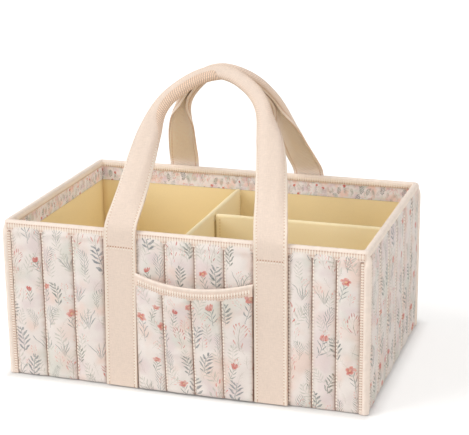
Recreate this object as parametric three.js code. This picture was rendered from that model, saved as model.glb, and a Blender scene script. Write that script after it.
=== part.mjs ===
// A quilted fabric caddy: a box of board-stiffened walls with a printed quilted cover, a yellow lining,
// two lift-out dividers, a patch pocket on the front and two strap handles that fold down outwards.
// Millimetres, +Z up. The origin is on the table at the middle of the base, and the pocket faces -Y.
import * as THREE from "three";

// Driving sizes of the body, measured over the quilting.
const bodyLength = 381;
const bodyWidth = 254;
const bodyHeight = 166;

// Layers of a wall, from the outside in, and the gap left between sewn layers.
const layerGap = 0.3;
const quiltThickness = 4.5;
const quiltSeamThickness = 1.8;
const quiltUnderStrap = 3.3;
const stiffenerThickness = 2;
const liningThickness = 1;
const facingThickness = 1.2;
const facingHeight = 23;

// Layers of the floor.
const basePanelThickness = 2;
const baseStiffenerThickness = 3;
const floorLiningThickness = 1;

// Bindings: folded strips over the rim, the pocket mouth and the four upright edges.
const bindingThickness = 1.2;
const rimBindingDepth = 7;
const rimBindingRadius = 3;
const cornerBindingReach = 8;
const cornerBindingThickness = 2.4;
const cornerBindingRadius = 4;

// Quilting: how many channels lie in each stretch of a panel, and how the batting rises across a channel.
const outerChannels = 3;
const middleChannels = 4;
const sideChannels = 6;
const channelShares = [0, 0.09, 0.33, 0.67, 0.91];
const crownShares = [0, 0.6, 1, 1, 0.6];
const hemTaper = 9;
const hemCrownShare = 0.5;

// Straps, sewn flat on the front and the back, and the free handles that carry on from them.
const strapWidth = 34;
const strapThickness = 2.4;
const frontStrapSpacing = 156;
const frontStrapShift = 15;
const backStrapSpacing = 147;
const backStrapShift = -10;
const strapFootGap = 1;
const strapEdgeRound = 0.9;
const foldDrop = 1;
const handleReach = 186;
const handleMeetingGap = 0.4;
const hangAngleFromDown = 35;
const handleSteps = 38;
// Half of the arch, as shares of half the strap spacing and of the reach, from the fold to the top.
const archShares = [
  [1, 0],
  [0.975, 0.12],
  [0.91, 0.31],
  [0.85, 0.5],
  [0.765, 0.67],
  [0.61, 0.83],
  [0.34, 0.945],
  [0, 1],
];
const rollStartShare = 0.48;
const rollEndShare = 0.74;
const rollArcRadius = 2.55;
const rollSlit = 1;
const rollArcSteps = 4;
const endRoundShares = [0.98, 0.8, 0.45];

// Patch pocket between the two front straps.
const pocketDrop = 41.5;
const pocketScoop = 7.5;
const pocketSlack = 9;
const pocketQuiltThickness = 4;
const pocketSeamThickness = 1.5;
const pocketBindingDepth = 5;
const pocketFootGap = 1;

// Dividers: a board in a folded cover, held at both ends by a strip of hook and loop.
const dividerThickness = 5;
const dividerCoverThickness = 1.2;
const dividerDrop = 21;
const crossDividerDrop = 2;
const longDividerX = -16;
const crossDividerY = 24;
const hookThickness = 0.8;
const loopThickness = 1;
const tapeFootHeight = 12;
const tapeTopDrop = 8;

// Places worked out from the sizes above.
const halfLength = bodyLength / 2;
const halfWidth = bodyWidth / 2;
const stiffenerInset = quiltThickness + layerGap;
const liningInset = stiffenerInset + stiffenerThickness + layerGap;
const bindingOuterInset = quiltThickness - quiltSeamThickness - layerGap - bindingThickness;
const bindingInnerInset = liningInset + facingThickness + layerGap + bindingThickness;
const bindingLowerEdge = bodyHeight - rimBindingDepth;
const wallTop = bodyHeight - bindingThickness - layerGap;
const facingFoot = bodyHeight - facingHeight;
const baseStiffenerFoot = basePanelThickness + layerGap;
const floorLiningFoot = baseStiffenerFoot + baseStiffenerThickness + layerGap;
const floorTop = floorLiningFoot + floorLiningThickness;
const wallLiningFoot = floorTop + layerGap;
const strapInnerInset = quiltThickness - quiltUnderStrap - layerGap;
const foldHeight = bodyHeight - foldDrop;
const pocketEndHeight = bodyHeight - pocketDrop;
const dividerTop = bodyHeight - dividerDrop;
const foldY = halfWidth - strapInnerInset + strapThickness / 2;
const frontStraps = { spacing: frontStrapSpacing, shift: frontStrapShift };
const backStraps = { spacing: backStrapSpacing, shift: backStrapShift };
const puffEndX = halfLength - cornerBindingReach - layerGap;
const puffEndY = halfWidth - cornerBindingReach - layerGap;

const printedCotton = new THREE.MeshStandardMaterial({ color: 0xece4dc, roughness: 0.9, metalness: 0 });
const plainBaseCloth = new THREE.MeshStandardMaterial({ color: 0xe8d8c8, roughness: 0.92, metalness: 0 });
const peachCanvas = new THREE.MeshStandardMaterial({ color: 0xf0dccb, roughness: 0.88, metalness: 0 });
const peachBinding = new THREE.MeshStandardMaterial({ color: 0xf2e2d6, roughness: 0.85, metalness: 0 });
const yellowLining = new THREE.MeshStandardMaterial({ color: 0xe8cf95, roughness: 0.8, metalness: 0 });
const greyBoard = new THREE.MeshStandardMaterial({ color: 0xb9ab96, roughness: 0.95, metalness: 0 });
const yellowTape = new THREE.MeshStandardMaterial({ color: 0xe2c98e, roughness: 0.95, metalness: 0 });

const caddy = new THREE.Group();

function addNode(name, geometry, material) {
  const mesh = new THREE.Mesh(geometry, material);
  mesh.name = name;
  caddy.add(mesh);
  return mesh;
}

function addBlock(name, low, high, material) {
  const size = high.map((value, i) => value - low[i]);
  const geometry = new THREE.BoxGeometry(...size);
  geometry.translate(...low.map((value, i) => value + size[i] / 2));
  return addNode(name, geometry, material);
}

// A closed solid through rings of points that all hold the same number of points. The first and last
// rings are closed with the triangles of the flat section, so a section may be hollowed like a U.
function loft(rings, section) {
  const count = section.length;
  const positions = rings.flat().flatMap((p) => [p.x, p.y, p.z]);
  const index = [];
  for (let r = 0; r + 1 < rings.length; r++)
    for (let i = 0; i < count; i++) {
      const a = r * count + i;
      const b = r * count + ((i + 1) % count);
      index.push(a, b, a + count, b, b + count, a + count);
    }
  const last = (rings.length - 1) * count;
  const clockwise = THREE.ShapeUtils.isClockWise(section);
  for (const face of THREE.ShapeUtils.triangulateShape(section, [])) {
    if (THREE.ShapeUtils.isClockWise(face.map((i) => section[i])) !== clockwise) face.reverse();
    const [a, b, c] = face;
    index.push(c, b, a);
    index.push(last + a, last + b, last + c);
  }
  return facingOut(positions, index);
}

// Builds a geometry and, where its faces point inwards, turns them all round.
function facingOut(positions, index) {
  let volume = 0;
  const at = (i) => new THREE.Vector3(...positions.slice(3 * i, 3 * i + 3));
  for (let i = 0; i < index.length; i += 3)
    volume += at(index[i]).dot(at(index[i + 1]).cross(at(index[i + 2])));
  if (volume < 0) index.reverse();
  const geometry = new THREE.BufferGeometry();
  geometry.setAttribute("position", new THREE.Float32BufferAttribute(positions, 3));
  geometry.setIndex(index);
  geometry.computeVertexNormals();
  return geometry;
}

// A closed slab between two sheets of points, each given at every column and row.
function slab(columns, rows, outerPoint, innerPoint) {
  const wide = columns.length;
  const tall = rows.length;
  const points = [];
  for (const sheet of [outerPoint, innerPoint])
    for (const row of rows) for (const column of columns) points.push(sheet(column, row));
  const outer = (c, r) => r * wide + c;
  const inner = (c, r) => wide * tall + r * wide + c;
  const index = [];
  const quad = (a, b, c, d) => index.push(a, b, c, a, c, d);
  for (let r = 0; r + 1 < tall; r++)
    for (let c = 0; c + 1 < wide; c++) {
      quad(outer(c, r), outer(c + 1, r), outer(c + 1, r + 1), outer(c, r + 1));
      quad(inner(c, r), inner(c, r + 1), inner(c + 1, r + 1), inner(c + 1, r));
    }
  for (let c = 0; c + 1 < wide; c++) {
    quad(outer(c, 0), inner(c, 0), inner(c + 1, 0), outer(c + 1, 0));
    quad(outer(c, tall - 1), outer(c + 1, tall - 1), inner(c + 1, tall - 1), inner(c, tall - 1));
  }
  for (let r = 0; r + 1 < tall; r++) {
    quad(outer(0, r), outer(0, r + 1), inner(0, r + 1), inner(0, r));
    quad(outer(wide - 1, r), inner(wide - 1, r), inner(wide - 1, r + 1), outer(wide - 1, r + 1));
  }
  return facingOut(points.flatMap((p) => [p.x, p.y, p.z]), index);
}

// Columns of a quilted stretch: places across the panel, each with how full the batting is there.
function channelColumns(start, end, channels) {
  const pitch = (end - start) / channels;
  const columns = [];
  for (let i = 0; i < channels; i++)
    channelShares.forEach((share, k) =>
      columns.push({ at: start + (i + share) * pitch, full: crownShares[k] }),
    );
  columns.push({ at: end, full: 0 });
  return columns;
}

// Rows of a wall panel: full height of the batting between two tapered ends, then the flat top
// edge that the rim binding takes in.
function wallRows() {
  const puffTop = bindingLowerEdge - layerGap;
  return [
    { at: 0, full: hemCrownShare },
    { at: hemTaper / 3, full: (1 + hemCrownShare) / 2 },
    { at: hemTaper, full: 1 },
    { at: puffTop - hemTaper, full: 1 },
    { at: puffTop - hemTaper / 3, full: (1 + hemCrownShare) / 2 },
    { at: puffTop, full: 0 },
    { at: wallTop, full: 0 },
  ];
}

const quiltDepth = (full, thick, thin) => thin + (thick - thin) * full;

// A wall panel with straps on it: channels outside and between the straps, and a flat bed under each.
function strappedColumns(straps) {
  const bedShare = (quiltUnderStrap - quiltSeamThickness) / (quiltThickness - quiltSeamThickness);
  const edges = [-1, 1].map((side) => {
    const middle = straps.shift + (side * straps.spacing) / 2;
    return [middle - strapWidth / 2, middle + strapWidth / 2];
  });
  const bed = ([low, high]) => [
    { at: low + layerGap, full: bedShare },
    { at: high - layerGap, full: bedShare },
  ];
  return [
    { at: -halfLength + cornerBindingThickness + layerGap, full: 0 },
    ...channelColumns(-puffEndX, edges[0][0], outerChannels),
    ...bed(edges[0]),
    ...channelColumns(edges[0][1], edges[1][0], middleChannels),
    ...bed(edges[1]),
    ...channelColumns(edges[1][1], puffEndX, outerChannels),
    { at: halfLength - cornerBindingThickness - layerGap, full: 0 },
  ];
}

// side is -1 for the front or left wall and 1 for the back or right wall.
function addLongPanel(name, side, straps) {
  const inner = halfWidth - quiltThickness;
  addNode(
    name,
    slab(
      strappedColumns(straps),
      wallRows(),
      (c, r) =>
        new THREE.Vector3(
          c.at,
          side * (inner + quiltDepth(c.full * r.full, quiltThickness, quiltSeamThickness)),
          r.at,
        ),
      (c, r) => new THREE.Vector3(c.at, side * inner, r.at),
    ),
    printedCotton,
  );
}

function addEndPanel(name, side) {
  const inner = halfLength - quiltThickness;
  const tongueEnd = halfWidth - quiltThickness - layerGap;
  const columns = [
    { at: -tongueEnd, full: 0 },
    ...channelColumns(-puffEndY, puffEndY, sideChannels),
    { at: tongueEnd, full: 0 },
  ];
  addNode(
    name,
    slab(
      columns,
      wallRows(),
      (c, r) =>
        new THREE.Vector3(
          side * (inner + quiltDepth(c.full * r.full, quiltThickness, quiltSeamThickness)),
          c.at,
          r.at,
        ),
      (c, r) => new THREE.Vector3(side * inner, c.at, r.at),
    ),
    printedCotton,
  );
}

addLongPanel("outer_panel_front", -1, frontStraps);
addLongPanel("outer_panel_back", 1, backStraps);
addEndPanel("outer_panel_left", -1);
addEndPanel("outer_panel_right", 1);

// Floor: cloth, board and lining, one on the other.
const floorX = halfLength - stiffenerInset;
const floorY = halfWidth - stiffenerInset;
const trayX = halfLength - liningInset;
const trayY = halfWidth - liningInset;
addBlock("base_panel", [-floorX, -floorY, 0], [floorX, floorY, basePanelThickness], plainBaseCloth);
addBlock(
  "stiffener_base",
  [-trayX, -trayY, baseStiffenerFoot],
  [trayX, trayY, baseStiffenerFoot + baseStiffenerThickness],
  greyBoard,
);
addBlock("lining_floor", [-trayX, -trayY, floorLiningFoot], [trayX, trayY, floorTop], yellowLining);

// Wall boards, linings and the printed facing round the inside of the rim. The long walls run past
// the short ones, which stand between them.
for (const [name, side] of [
  ["front", -1],
  ["back", 1],
]) {
  const block = (node, inset, thickness, reach, foot, top, material) => {
    const a = side * (halfWidth - inset);
    const b = side * (halfWidth - inset - thickness);
    addBlock(node, [-reach, Math.min(a, b), foot], [reach, Math.max(a, b), top], material);
  };
  block(
    `stiffener_${name}`,
    stiffenerInset,
    stiffenerThickness,
    floorX,
    baseStiffenerFoot,
    wallTop,
    greyBoard,
  );
  block(
    `lining_${name}`,
    liningInset,
    liningThickness,
    trayX,
    wallLiningFoot,
    facingFoot - layerGap,
    yellowLining,
  );
  block(`facing_${name}`, liningInset, facingThickness, trayX, facingFoot, wallTop, printedCotton);
}
for (const [name, side] of [
  ["left", -1],
  ["right", 1],
]) {
  const block = (node, inset, thickness, reach, foot, top, material) => {
    const a = side * (halfLength - inset);
    const b = side * (halfLength - inset - thickness);
    addBlock(node, [Math.min(a, b), -reach, foot], [Math.max(a, b), reach, top], material);
  };
  block(
    `stiffener_${name}`,
    stiffenerInset,
    stiffenerThickness,
    trayY,
    baseStiffenerFoot,
    wallTop,
    greyBoard,
  );
  block(
    `lining_${name}`,
    liningInset,
    liningThickness,
    trayY - liningThickness - layerGap,
    wallLiningFoot,
    facingFoot - layerGap,
    yellowLining,
  );
  block(
    `facing_${name}`,
    liningInset,
    facingThickness,
    trayY - facingThickness - layerGap,
    facingFoot,
    wallTop,
    printedCotton,
  );
}

// The folded section of the rim binding: x is the distance inwards from the body's outline and y is
// the height. It closes over the edges of the wall like an upturned U.
function rimSection() {
  const near = bindingOuterInset;
  const far = bindingInnerInset;
  const radius = rimBindingRadius;
  const outline = new THREE.Shape();
  outline.moveTo(near, bindingLowerEdge);
  outline.lineTo(near, bodyHeight - radius);
  outline.absarc(near + radius, bodyHeight - radius, radius, Math.PI, Math.PI / 2, true);
  outline.absarc(far - radius, bodyHeight - radius, radius, Math.PI / 2, 0, true);
  outline.lineTo(far, bindingLowerEdge);
  outline.lineTo(far - bindingThickness, bindingLowerEdge);
  outline.lineTo(far - bindingThickness, bodyHeight - bindingThickness);
  outline.lineTo(near + bindingThickness, bodyHeight - bindingThickness);
  outline.lineTo(near + bindingThickness, bindingLowerEdge);
  const arcSteps = 4;
  return outline.extractPoints(arcSteps).shape;
}

// One straight length of rim binding with mitred ends: place turns a distance along the wall, a
// distance inwards and a height into a point.
function addRimBinding(name, halfRun, place) {
  const section = rimSection();
  const mitreGap = layerGap / 2;
  const ring = (end) => section.map((p) => place(end * (halfRun - p.x - mitreGap), p.x, p.y));
  addNode(name, loft([ring(-1), ring(1)], section), peachBinding);
}

for (const [name, side] of [
  ["front", -1],
  ["back", 1],
])
  addRimBinding(
    `rim_binding_${name}`,
    halfLength,
    (along, inset, up) => new THREE.Vector3(along, side * (halfWidth - inset), up),
  );
for (const [name, side] of [
  ["left", -1],
  ["right", 1],
])
  addRimBinding(
    `rim_binding_${name}`,
    halfWidth,
    (along, inset, up) => new THREE.Vector3(side * (halfLength - inset), along, up),
  );

// Upright corner bindings: an L with a rounded outer corner, drawn for the corner at +X, +Y.
function cornerSection() {
  const shape = new THREE.Shape();
  const inset = cornerBindingThickness;
  const radius = cornerBindingRadius;
  shape.moveTo(halfLength - cornerBindingReach, halfWidth - inset);
  shape.lineTo(halfLength - inset, halfWidth - inset);
  shape.lineTo(halfLength - inset, halfWidth - cornerBindingReach);
  shape.lineTo(halfLength, halfWidth - cornerBindingReach);
  shape.absarc(halfLength - radius, halfWidth - radius, radius, 0, Math.PI / 2);
  shape.lineTo(halfLength - cornerBindingReach, halfWidth);
  const arcSteps = 5;
  return shape.extractPoints(arcSteps).shape;
}
for (const [name, sideX, sideY] of [
  ["front_left", -1, -1],
  ["front_right", 1, -1],
  ["back_left", -1, 1],
  ["back_right", 1, 1],
]) {
  const section = cornerSection();
  const ring = (height) => section.map((p) => new THREE.Vector3(sideX * p.x, sideY * p.y, height));
  const rings = [ring(0), ring(bindingLowerEdge - layerGap)];
  addNode(`corner_binding_${name}`, loft(rings, section), peachBinding);
}

// The strap where it is sewn to the wall. Its top is cut on a slant that leaves room for the free
// handle to hang down beside it.
function strapSection() {
  const radius = strapEdgeRound;
  const x = strapWidth / 2 - radius;
  const y = strapThickness / 2 - radius;
  const quarter = Math.PI / 2;
  const shape = new THREE.Shape();
  shape.absarc(x, -y, radius, -quarter, 0);
  shape.absarc(x, y, radius, 0, quarter);
  shape.absarc(-x, y, radius, quarter, 2 * quarter);
  shape.absarc(-x, -y, radius, 2 * quarter, 3 * quarter);
  const arcSteps = 2;
  return shape.extractPoints(arcSteps).shape;
}
function slantedTop(outward) {
  const hang = THREE.MathUtils.degToRad(hangAngleFromDown);
  const clear = strapThickness / 2 + layerGap;
  return foldHeight - (clear + outward * Math.cos(hang)) / Math.sin(hang);
}
for (const [wall, side, straps] of [
  ["front", -1, frontStraps],
  ["back", 1, backStraps],
])
  for (const [hand, sideX] of [
    ["left", -1],
    ["right", 1],
  ]) {
    const section = strapSection();
    const middle = straps.shift + (sideX * straps.spacing) / 2;
    const ring = (height) =>
      section.map((p) => new THREE.Vector3(middle + p.x, side * (foldY + p.y), height(p.y)));
    const rings = [ring(() => strapFootGap), ring(slantedTop)];
    addNode(`strap_${wall}_${hand}`, loft(rings, section), peachCanvas);
  }

// The flat stretch on each side of the rolled strap's middle, and the roll's half thickness.
const turnLength = Math.PI * rollArcRadius;
const rollFlatHalf = (strapWidth / 2 - turnLength + rollSlit / 2) / 2;
const rollHalfThickness = rollArcRadius + strapThickness / 2;

// The middle line of the strap's section, from one edge to the other, each point with the way the
// line faces there. Each half runs straight, round a half turn, and straight back: roll goes from 0,
// where the strap is flat, to 1, where its edges meet and leave a slit.
function rolledLine(roll) {
  const pieces = [{ length: rollFlatHalf, turn: 0 }];
  for (let i = 0; i < rollArcSteps; i++)
    pieces.push({ length: turnLength / rollArcSteps, turn: Math.PI / rollArcSteps });
  pieces.push({ length: rollFlatHalf - rollSlit / 2, turn: 0 });
  const half = [{ across: 0, inward: 0, angle: 0 }];
  for (const piece of pieces) {
    const from = half[half.length - 1];
    const middleAngle = from.angle + (roll * piece.turn) / 2;
    half.push({
      across: from.across + piece.length * Math.cos(middleAngle),
      inward: from.inward + piece.length * Math.sin(middleAngle),
      angle: from.angle + roll * piece.turn,
    });
  }
  const mirrored = half.slice(1).map((p) => ({ across: -p.across, inward: p.inward, angle: -p.angle }));
  return [...mirrored.reverse(), ...half];
}

// The strap's section as a closed ring: along one face of the cloth, then back along the other.
function rolledRing(roll, thickness) {
  const face = (p, out) =>
    new THREE.Vector2(
      p.across + (out * thickness * Math.sin(p.angle)) / 2,
      p.inward - roll * rollArcRadius - (out * thickness * Math.cos(p.angle)) / 2,
    );
  const line = rolledLine(roll);
  return [...line.map((p) => face(p, 1)), ...line.reverse().map((p) => face(p, -1))];
}

// The middle line of a handle, laid flat: x across and y up from the fold.
function handleArch(straps) {
  const place = (hand, [acrossShare, upShare]) =>
    new THREE.Vector3(
      (hand * acrossShare * straps.spacing) / 2 + straps.shift * (1 - upShare),
      upShare * handleReach,
      0,
    );
  const rise = archShares.map((share) => place(-1, share));
  const fall = archShares.slice(0, -1).map((share) => place(1, share));
  return new THREE.CatmullRomCurve3([...rise, ...fall.reverse()], false, "centripetal");
}

// A free handle, leaning inwards from the fold until its grip meets its twin over the middle.
function addHandle(name, side, straps) {
  const lean = Math.asin((foldY - rollHalfThickness - handleMeetingGap / 2) / (handleReach + rollFlatHalf));
  const place = (x, up, inward) =>
    new THREE.Vector3(
      x,
      side * (foldY - up * Math.sin(lean) - inward * Math.cos(lean)),
      foldHeight + up * Math.cos(lean) - inward * Math.sin(lean),
    );
  const ringAt = (point, way, roll, thickness) =>
    rolledRing(roll, thickness).map((p) => place(point.x - way.y * p.x, point.y + way.x * p.x, p.y));
  const arch = handleArch(straps);
  const straightUp = new THREE.Vector3(0, 1, 0);
  const straightDown = new THREE.Vector3(0, -1, 0);
  // Below the fold each end is a half round, so the strap turns about the fold in its own thickness.
  const endRing = (end, tangent, share) => {
    const point = arch.getPoint(end);
    point.y -= (strapThickness / 2) * share;
    return ringAt(point, tangent, 0, strapThickness * Math.sqrt(1 - share * share));
  };
  const rings = endRoundShares.map((share) => endRing(0, straightUp, share));
  for (let i = 0; i <= handleSteps; i++) {
    const at = i / handleSteps;
    const point = arch.getPointAt(at);
    const roll = THREE.MathUtils.smoothstep(point.y / handleReach, rollStartShare, rollEndShare);
    let tangent = arch.getTangentAt(at);
    if (i === 0) tangent = straightUp;
    if (i === handleSteps) tangent = straightDown;
    rings.push(ringAt(point, tangent, roll, strapThickness));
  }
  for (const share of [...endRoundShares].reverse()) rings.push(endRing(1, straightDown, share));
  addNode(name, loft(rings, rolledRing(0, strapThickness)), peachCanvas);
}
addHandle("front_handle", -1, frontStraps);
addHandle("back_handle", 1, backStraps);

// Patch pocket. Its sheet stands away from the wall towards the middle of the mouth.
const pocketLow = frontStrapShift - frontStrapSpacing / 2 + strapWidth / 2 + layerGap;
const pocketHigh = frontStrapShift + frontStrapSpacing / 2 - strapWidth / 2 - layerGap;
const pocketMiddle = (pocketLow + pocketHigh) / 2;
const pocketHalf = (pocketHigh - pocketLow) / 2;
const acrossPocket = (x) => 1 - ((x - pocketMiddle) / pocketHalf) ** 2;
const pocketMouth = (x) => pocketEndHeight - pocketScoop * acrossPocket(x);
const pocketStandOff = (x, z) =>
  layerGap + pocketSlack * acrossPocket(x) * ((z - pocketFootGap) / (pocketEndHeight - pocketScoop));
function pocketPoint(x, z, depth) {
  return new THREE.Vector3(x, -halfWidth - pocketStandOff(x, z) - depth, z);
}
const pocketRows = [
  { share: 0, full: hemCrownShare },
  { share: 0.04, full: 1 },
  { share: 0.35, full: 1 },
  { share: 0.7, full: 1 },
  { share: 0.94, full: 0.9 },
];
// Heights down from the mouth, for the rows that the binding sets.
const pocketTopRows = [
  { below: pocketBindingDepth - bindingThickness + layerGap, full: 0 },
  { below: layerGap, full: 0 },
];
function pocketHeight(x, row) {
  const mouth = pocketMouth(x) - bindingThickness;
  if (row.below !== undefined) return mouth - row.below;
  const puffTop = mouth - pocketTopRows[0].below;
  return pocketFootGap + row.share * (puffTop - pocketFootGap);
}
addNode(
  "front_pocket",
  slab(
    channelColumns(pocketLow, pocketHigh, middleChannels),
    [...pocketRows, ...pocketTopRows],
    (c, r) =>
      pocketPoint(
        c.at,
        pocketHeight(c.at, r),
        quiltDepth(c.full * r.full, pocketQuiltThickness, pocketSeamThickness),
      ),
    (c, r) => pocketPoint(c.at, pocketHeight(c.at, r), 0),
  ),
  printedCotton,
);

// Pocket binding: an upturned U that follows the scooped mouth.
function pocketBindingSection() {
  const inner = -layerGap / 2;
  const outer = pocketSeamThickness + layerGap;
  const low = pocketBindingDepth;
  const t = bindingThickness;
  const chamfer = bindingThickness / 2;
  return [
    [outer + t, low],
    [outer + t, chamfer],
    [outer + t - chamfer, 0],
    [inner, 0],
    [inner, t],
    [outer, t],
    [outer, low],
  ].map(([depth, below]) => new THREE.Vector2(depth, below));
}
const bindingSteps = 20;
const bindingRings = [];
for (let i = 0; i <= bindingSteps; i++) {
  const x = pocketLow + (i / bindingSteps) * (pocketHigh - pocketLow);
  bindingRings.push(pocketBindingSection().map((p) => pocketPoint(x, pocketMouth(x) - p.y, p.x)));
}
addNode("pocket_binding", loft(bindingRings, pocketBindingSection()), peachBinding);

// Dividers. place turns a distance across the divider, along it and up into a point.
function dividerSection(top) {
  const half = dividerThickness / 2;
  const inner = half - dividerCoverThickness;
  const foot = wallLiningFoot;
  const shape = new THREE.Shape();
  shape.moveTo(-half, foot);
  shape.lineTo(-half, top - half);
  shape.absarc(0, top - half, half, Math.PI, 0, true);
  shape.lineTo(half, foot);
  shape.lineTo(inner, foot);
  shape.lineTo(inner, top - half);
  shape.lineTo(-inner, top - half);
  shape.lineTo(-inner, foot);
  const arcSteps = 6;
  return shape.extractPoints(arcSteps).shape;
}
function addDivider(name, low, high, top, place, hooks) {
  const section = dividerSection(top);
  const ring = (along) => section.map((p) => place(p.x, along, p.y));
  addNode(`${name}_cover`, loft([ring(low), ring(high)], section), yellowLining);
  const block = (node, halfThick, from, to, foot, head, material) => {
    const corners = [place(-halfThick, from, foot), place(halfThick, to, head)];
    const bounds = new THREE.Box3().setFromPoints(corners);
    addBlock(node, bounds.min.toArray(), bounds.max.toArray(), material);
  };
  const boardHalf = dividerThickness / 2 - dividerCoverThickness - layerGap;
  const boardTop = top - dividerThickness / 2 - layerGap;
  block(`${name}_board`, boardHalf, low, high, wallLiningFoot, boardTop, greyBoard);
  const tapeTop = top - tapeTopDrop;
  const half = dividerThickness / 2;
  const hook = (end, from) =>
    block(`${name}_hook_${end}`, half, from, from + hookThickness, tapeFootHeight, tapeTop, yellowTape);
  hook(hooks[0], low - layerGap - hookThickness);
  hook(hooks[1], high + layerGap);
}

// A divider must pass the inner edge of the rim binding as it is lifted, so that edge sets its ends.
const hookLimitX = halfLength - bindingInnerInset - layerGap;
const hookLimitY = halfWidth - bindingInnerInset - layerGap;
const longEnd = hookLimitY - hookThickness - layerGap;
addDivider(
  "long_divider",
  -longEnd,
  longEnd,
  dividerTop,
  (across, along, up) => new THREE.Vector3(longDividerX + across, along, up),
  ["front", "back"],
);
const crossTop = dividerTop - crossDividerDrop;
const longFace = longDividerX + dividerThickness / 2;
const crossLow = longFace + layerGap + loopThickness + layerGap + hookThickness + layerGap;
const crossHigh = hookLimitX - hookThickness - layerGap;
addDivider(
  "cross_divider",
  crossLow,
  crossHigh,
  crossTop,
  (across, along, up) => new THREE.Vector3(along, crossDividerY + across, up),
  ["left", "right"],
);

// Loop strips, where the dividers' hooks take hold. Each wall strip fills the space up to its hook.
const tapeHalf = dividerThickness / 2;
const wallLoopFarY = halfWidth - liningInset - liningThickness - layerGap;
const wallLoopNearY = hookLimitY + layerGap;
for (const [name, side] of [
  ["front", -1],
  ["back", 1],
]) {
  const faces = [wallLoopNearY * side, wallLoopFarY * side].sort((a, b) => a - b);
  addBlock(
    `loop_strip_${name}`,
    [longDividerX - tapeHalf, faces[0], tapeFootHeight],
    [longDividerX + tapeHalf, faces[1], dividerTop - tapeTopDrop],
    yellowTape,
  );
}
addBlock(
  "loop_strip_right",
  [hookLimitX + layerGap, crossDividerY - tapeHalf, tapeFootHeight],
  [halfLength - liningInset - liningThickness - layerGap, crossDividerY + tapeHalf, crossTop - tapeTopDrop],
  yellowTape,
);
addBlock(
  "loop_strip_divider",
  [longFace + layerGap, crossDividerY - tapeHalf, tapeFootHeight],
  [longFace + layerGap + loopThickness, crossDividerY + tapeHalf, crossTop - tapeTopDrop],
  yellowTape,
);

export default caddy;
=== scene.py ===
import math

import bmesh
import bpy
import numpy as np
from mathutils import Matrix, Vector, noise


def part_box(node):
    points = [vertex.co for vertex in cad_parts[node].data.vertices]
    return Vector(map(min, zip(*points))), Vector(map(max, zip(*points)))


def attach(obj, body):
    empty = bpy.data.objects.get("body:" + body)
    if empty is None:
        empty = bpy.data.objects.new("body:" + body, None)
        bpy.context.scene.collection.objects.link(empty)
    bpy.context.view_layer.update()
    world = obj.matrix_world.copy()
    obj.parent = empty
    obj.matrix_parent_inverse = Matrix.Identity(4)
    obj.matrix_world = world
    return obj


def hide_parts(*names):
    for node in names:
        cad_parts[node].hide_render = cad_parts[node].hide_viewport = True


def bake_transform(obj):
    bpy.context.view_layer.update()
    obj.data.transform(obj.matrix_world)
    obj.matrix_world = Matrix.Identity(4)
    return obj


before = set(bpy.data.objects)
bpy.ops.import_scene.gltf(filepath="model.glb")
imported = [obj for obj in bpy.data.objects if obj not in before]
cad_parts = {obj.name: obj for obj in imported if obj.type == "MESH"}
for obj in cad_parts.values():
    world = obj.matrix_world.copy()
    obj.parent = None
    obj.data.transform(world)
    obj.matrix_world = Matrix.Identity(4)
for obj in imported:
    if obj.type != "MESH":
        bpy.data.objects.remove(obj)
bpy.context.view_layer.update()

# Metres throughout. A wall piece is made as if for the front wall, with x along the wall and the
# outside facing -Y, and then turned to its own wall.
caddy = {"length": 0.381, "width": 0.254, "height": 0.166, "gap": 0.0003}
halfLength, halfWidth, rimTop, gap = caddy["length"] / 2, caddy["width"] / 2, caddy["height"], caddy["gap"]
walls = {
    "front": {"turn": 0, "half": halfLength, "depth": halfWidth},
    "right": {"turn": 90, "half": halfWidth, "depth": halfLength},
    "back": {"turn": 180, "half": halfLength, "depth": halfWidth},
    "left": {"turn": 270, "half": halfWidth, "depth": halfLength},
}
strapPlaces = {  # strap middles along the wall, seen from outside
    "front": {"spacing": 0.156, "shift": 0.015},
    "back": {"spacing": 0.147, "shift": 0.010},
}
strapWidth = 0.034

view = {
    "pixelsWide": 469,
    "focalPixels": 1442.991,
    "azimuth": 0.311664,
    "elevation": 0.300424,
    "roll": -0.011459,
    "place": (0.459684, -1.375349, 0.595935),
}


def addCamera():
    a, e, r = view["azimuth"], view["elevation"], view["roll"]
    back = Vector((math.sin(a) * math.cos(e), -math.cos(a) * math.cos(e), math.sin(e)))
    right = Vector((math.cos(a), math.sin(a), 0))
    up = back.cross(right)
    across = right * math.cos(r) + up * math.sin(r)
    upright = up * math.cos(r) - right * math.sin(r)
    bpy.ops.object.camera_add()
    camera = bpy.context.object
    turn = Matrix((across, upright, back)).transposed()
    camera.matrix_world = Matrix.Translation(view["place"]) @ turn.to_4x4()
    camera.data.sensor_width = 36
    camera.data.lens = view["focalPixels"] / view["pixelsWide"] * camera.data.sensor_width
    camera.data.clip_start, camera.data.clip_end = 0.05, 50
    bpy.context.scene.camera = camera


# a broad window high on the left, and a large pale reflector low in front
light = {
    "window": {"strength": 1.72, "spread": 40, "toward": (-0.92, -0.52, 0.86), "colour": (1.0, 0.985, 0.96)},
    "reflector": {"strength": 1.35, "spread": 70, "toward": (0.82, -0.58, 0.03), "colour": (1, 0.93, 0.855)},
    "skyStrength": 0.57,
    "skyColour": (1.0, 0.985, 0.965, 1),
}


def addLights():
    for name in ("window", "reflector"):
        bpy.ops.object.light_add(type="SUN")
        lamp = bpy.context.object
        lamp.name = name
        lamp.rotation_mode = "QUATERNION"
        lamp.rotation_quaternion = Vector(light[name]["toward"]).to_track_quat("Z", "Y")
        lamp.data.energy = light[name]["strength"]
        lamp.data.angle = math.radians(light[name]["spread"])
        lamp.data.color = light[name]["colour"]


# Small helpers for meshes.


def clearSelection():
    if bpy.context.object and bpy.context.object.mode != "OBJECT":
        bpy.ops.object.mode_set(mode="OBJECT")
    bpy.ops.object.select_all(action="DESELECT")


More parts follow.
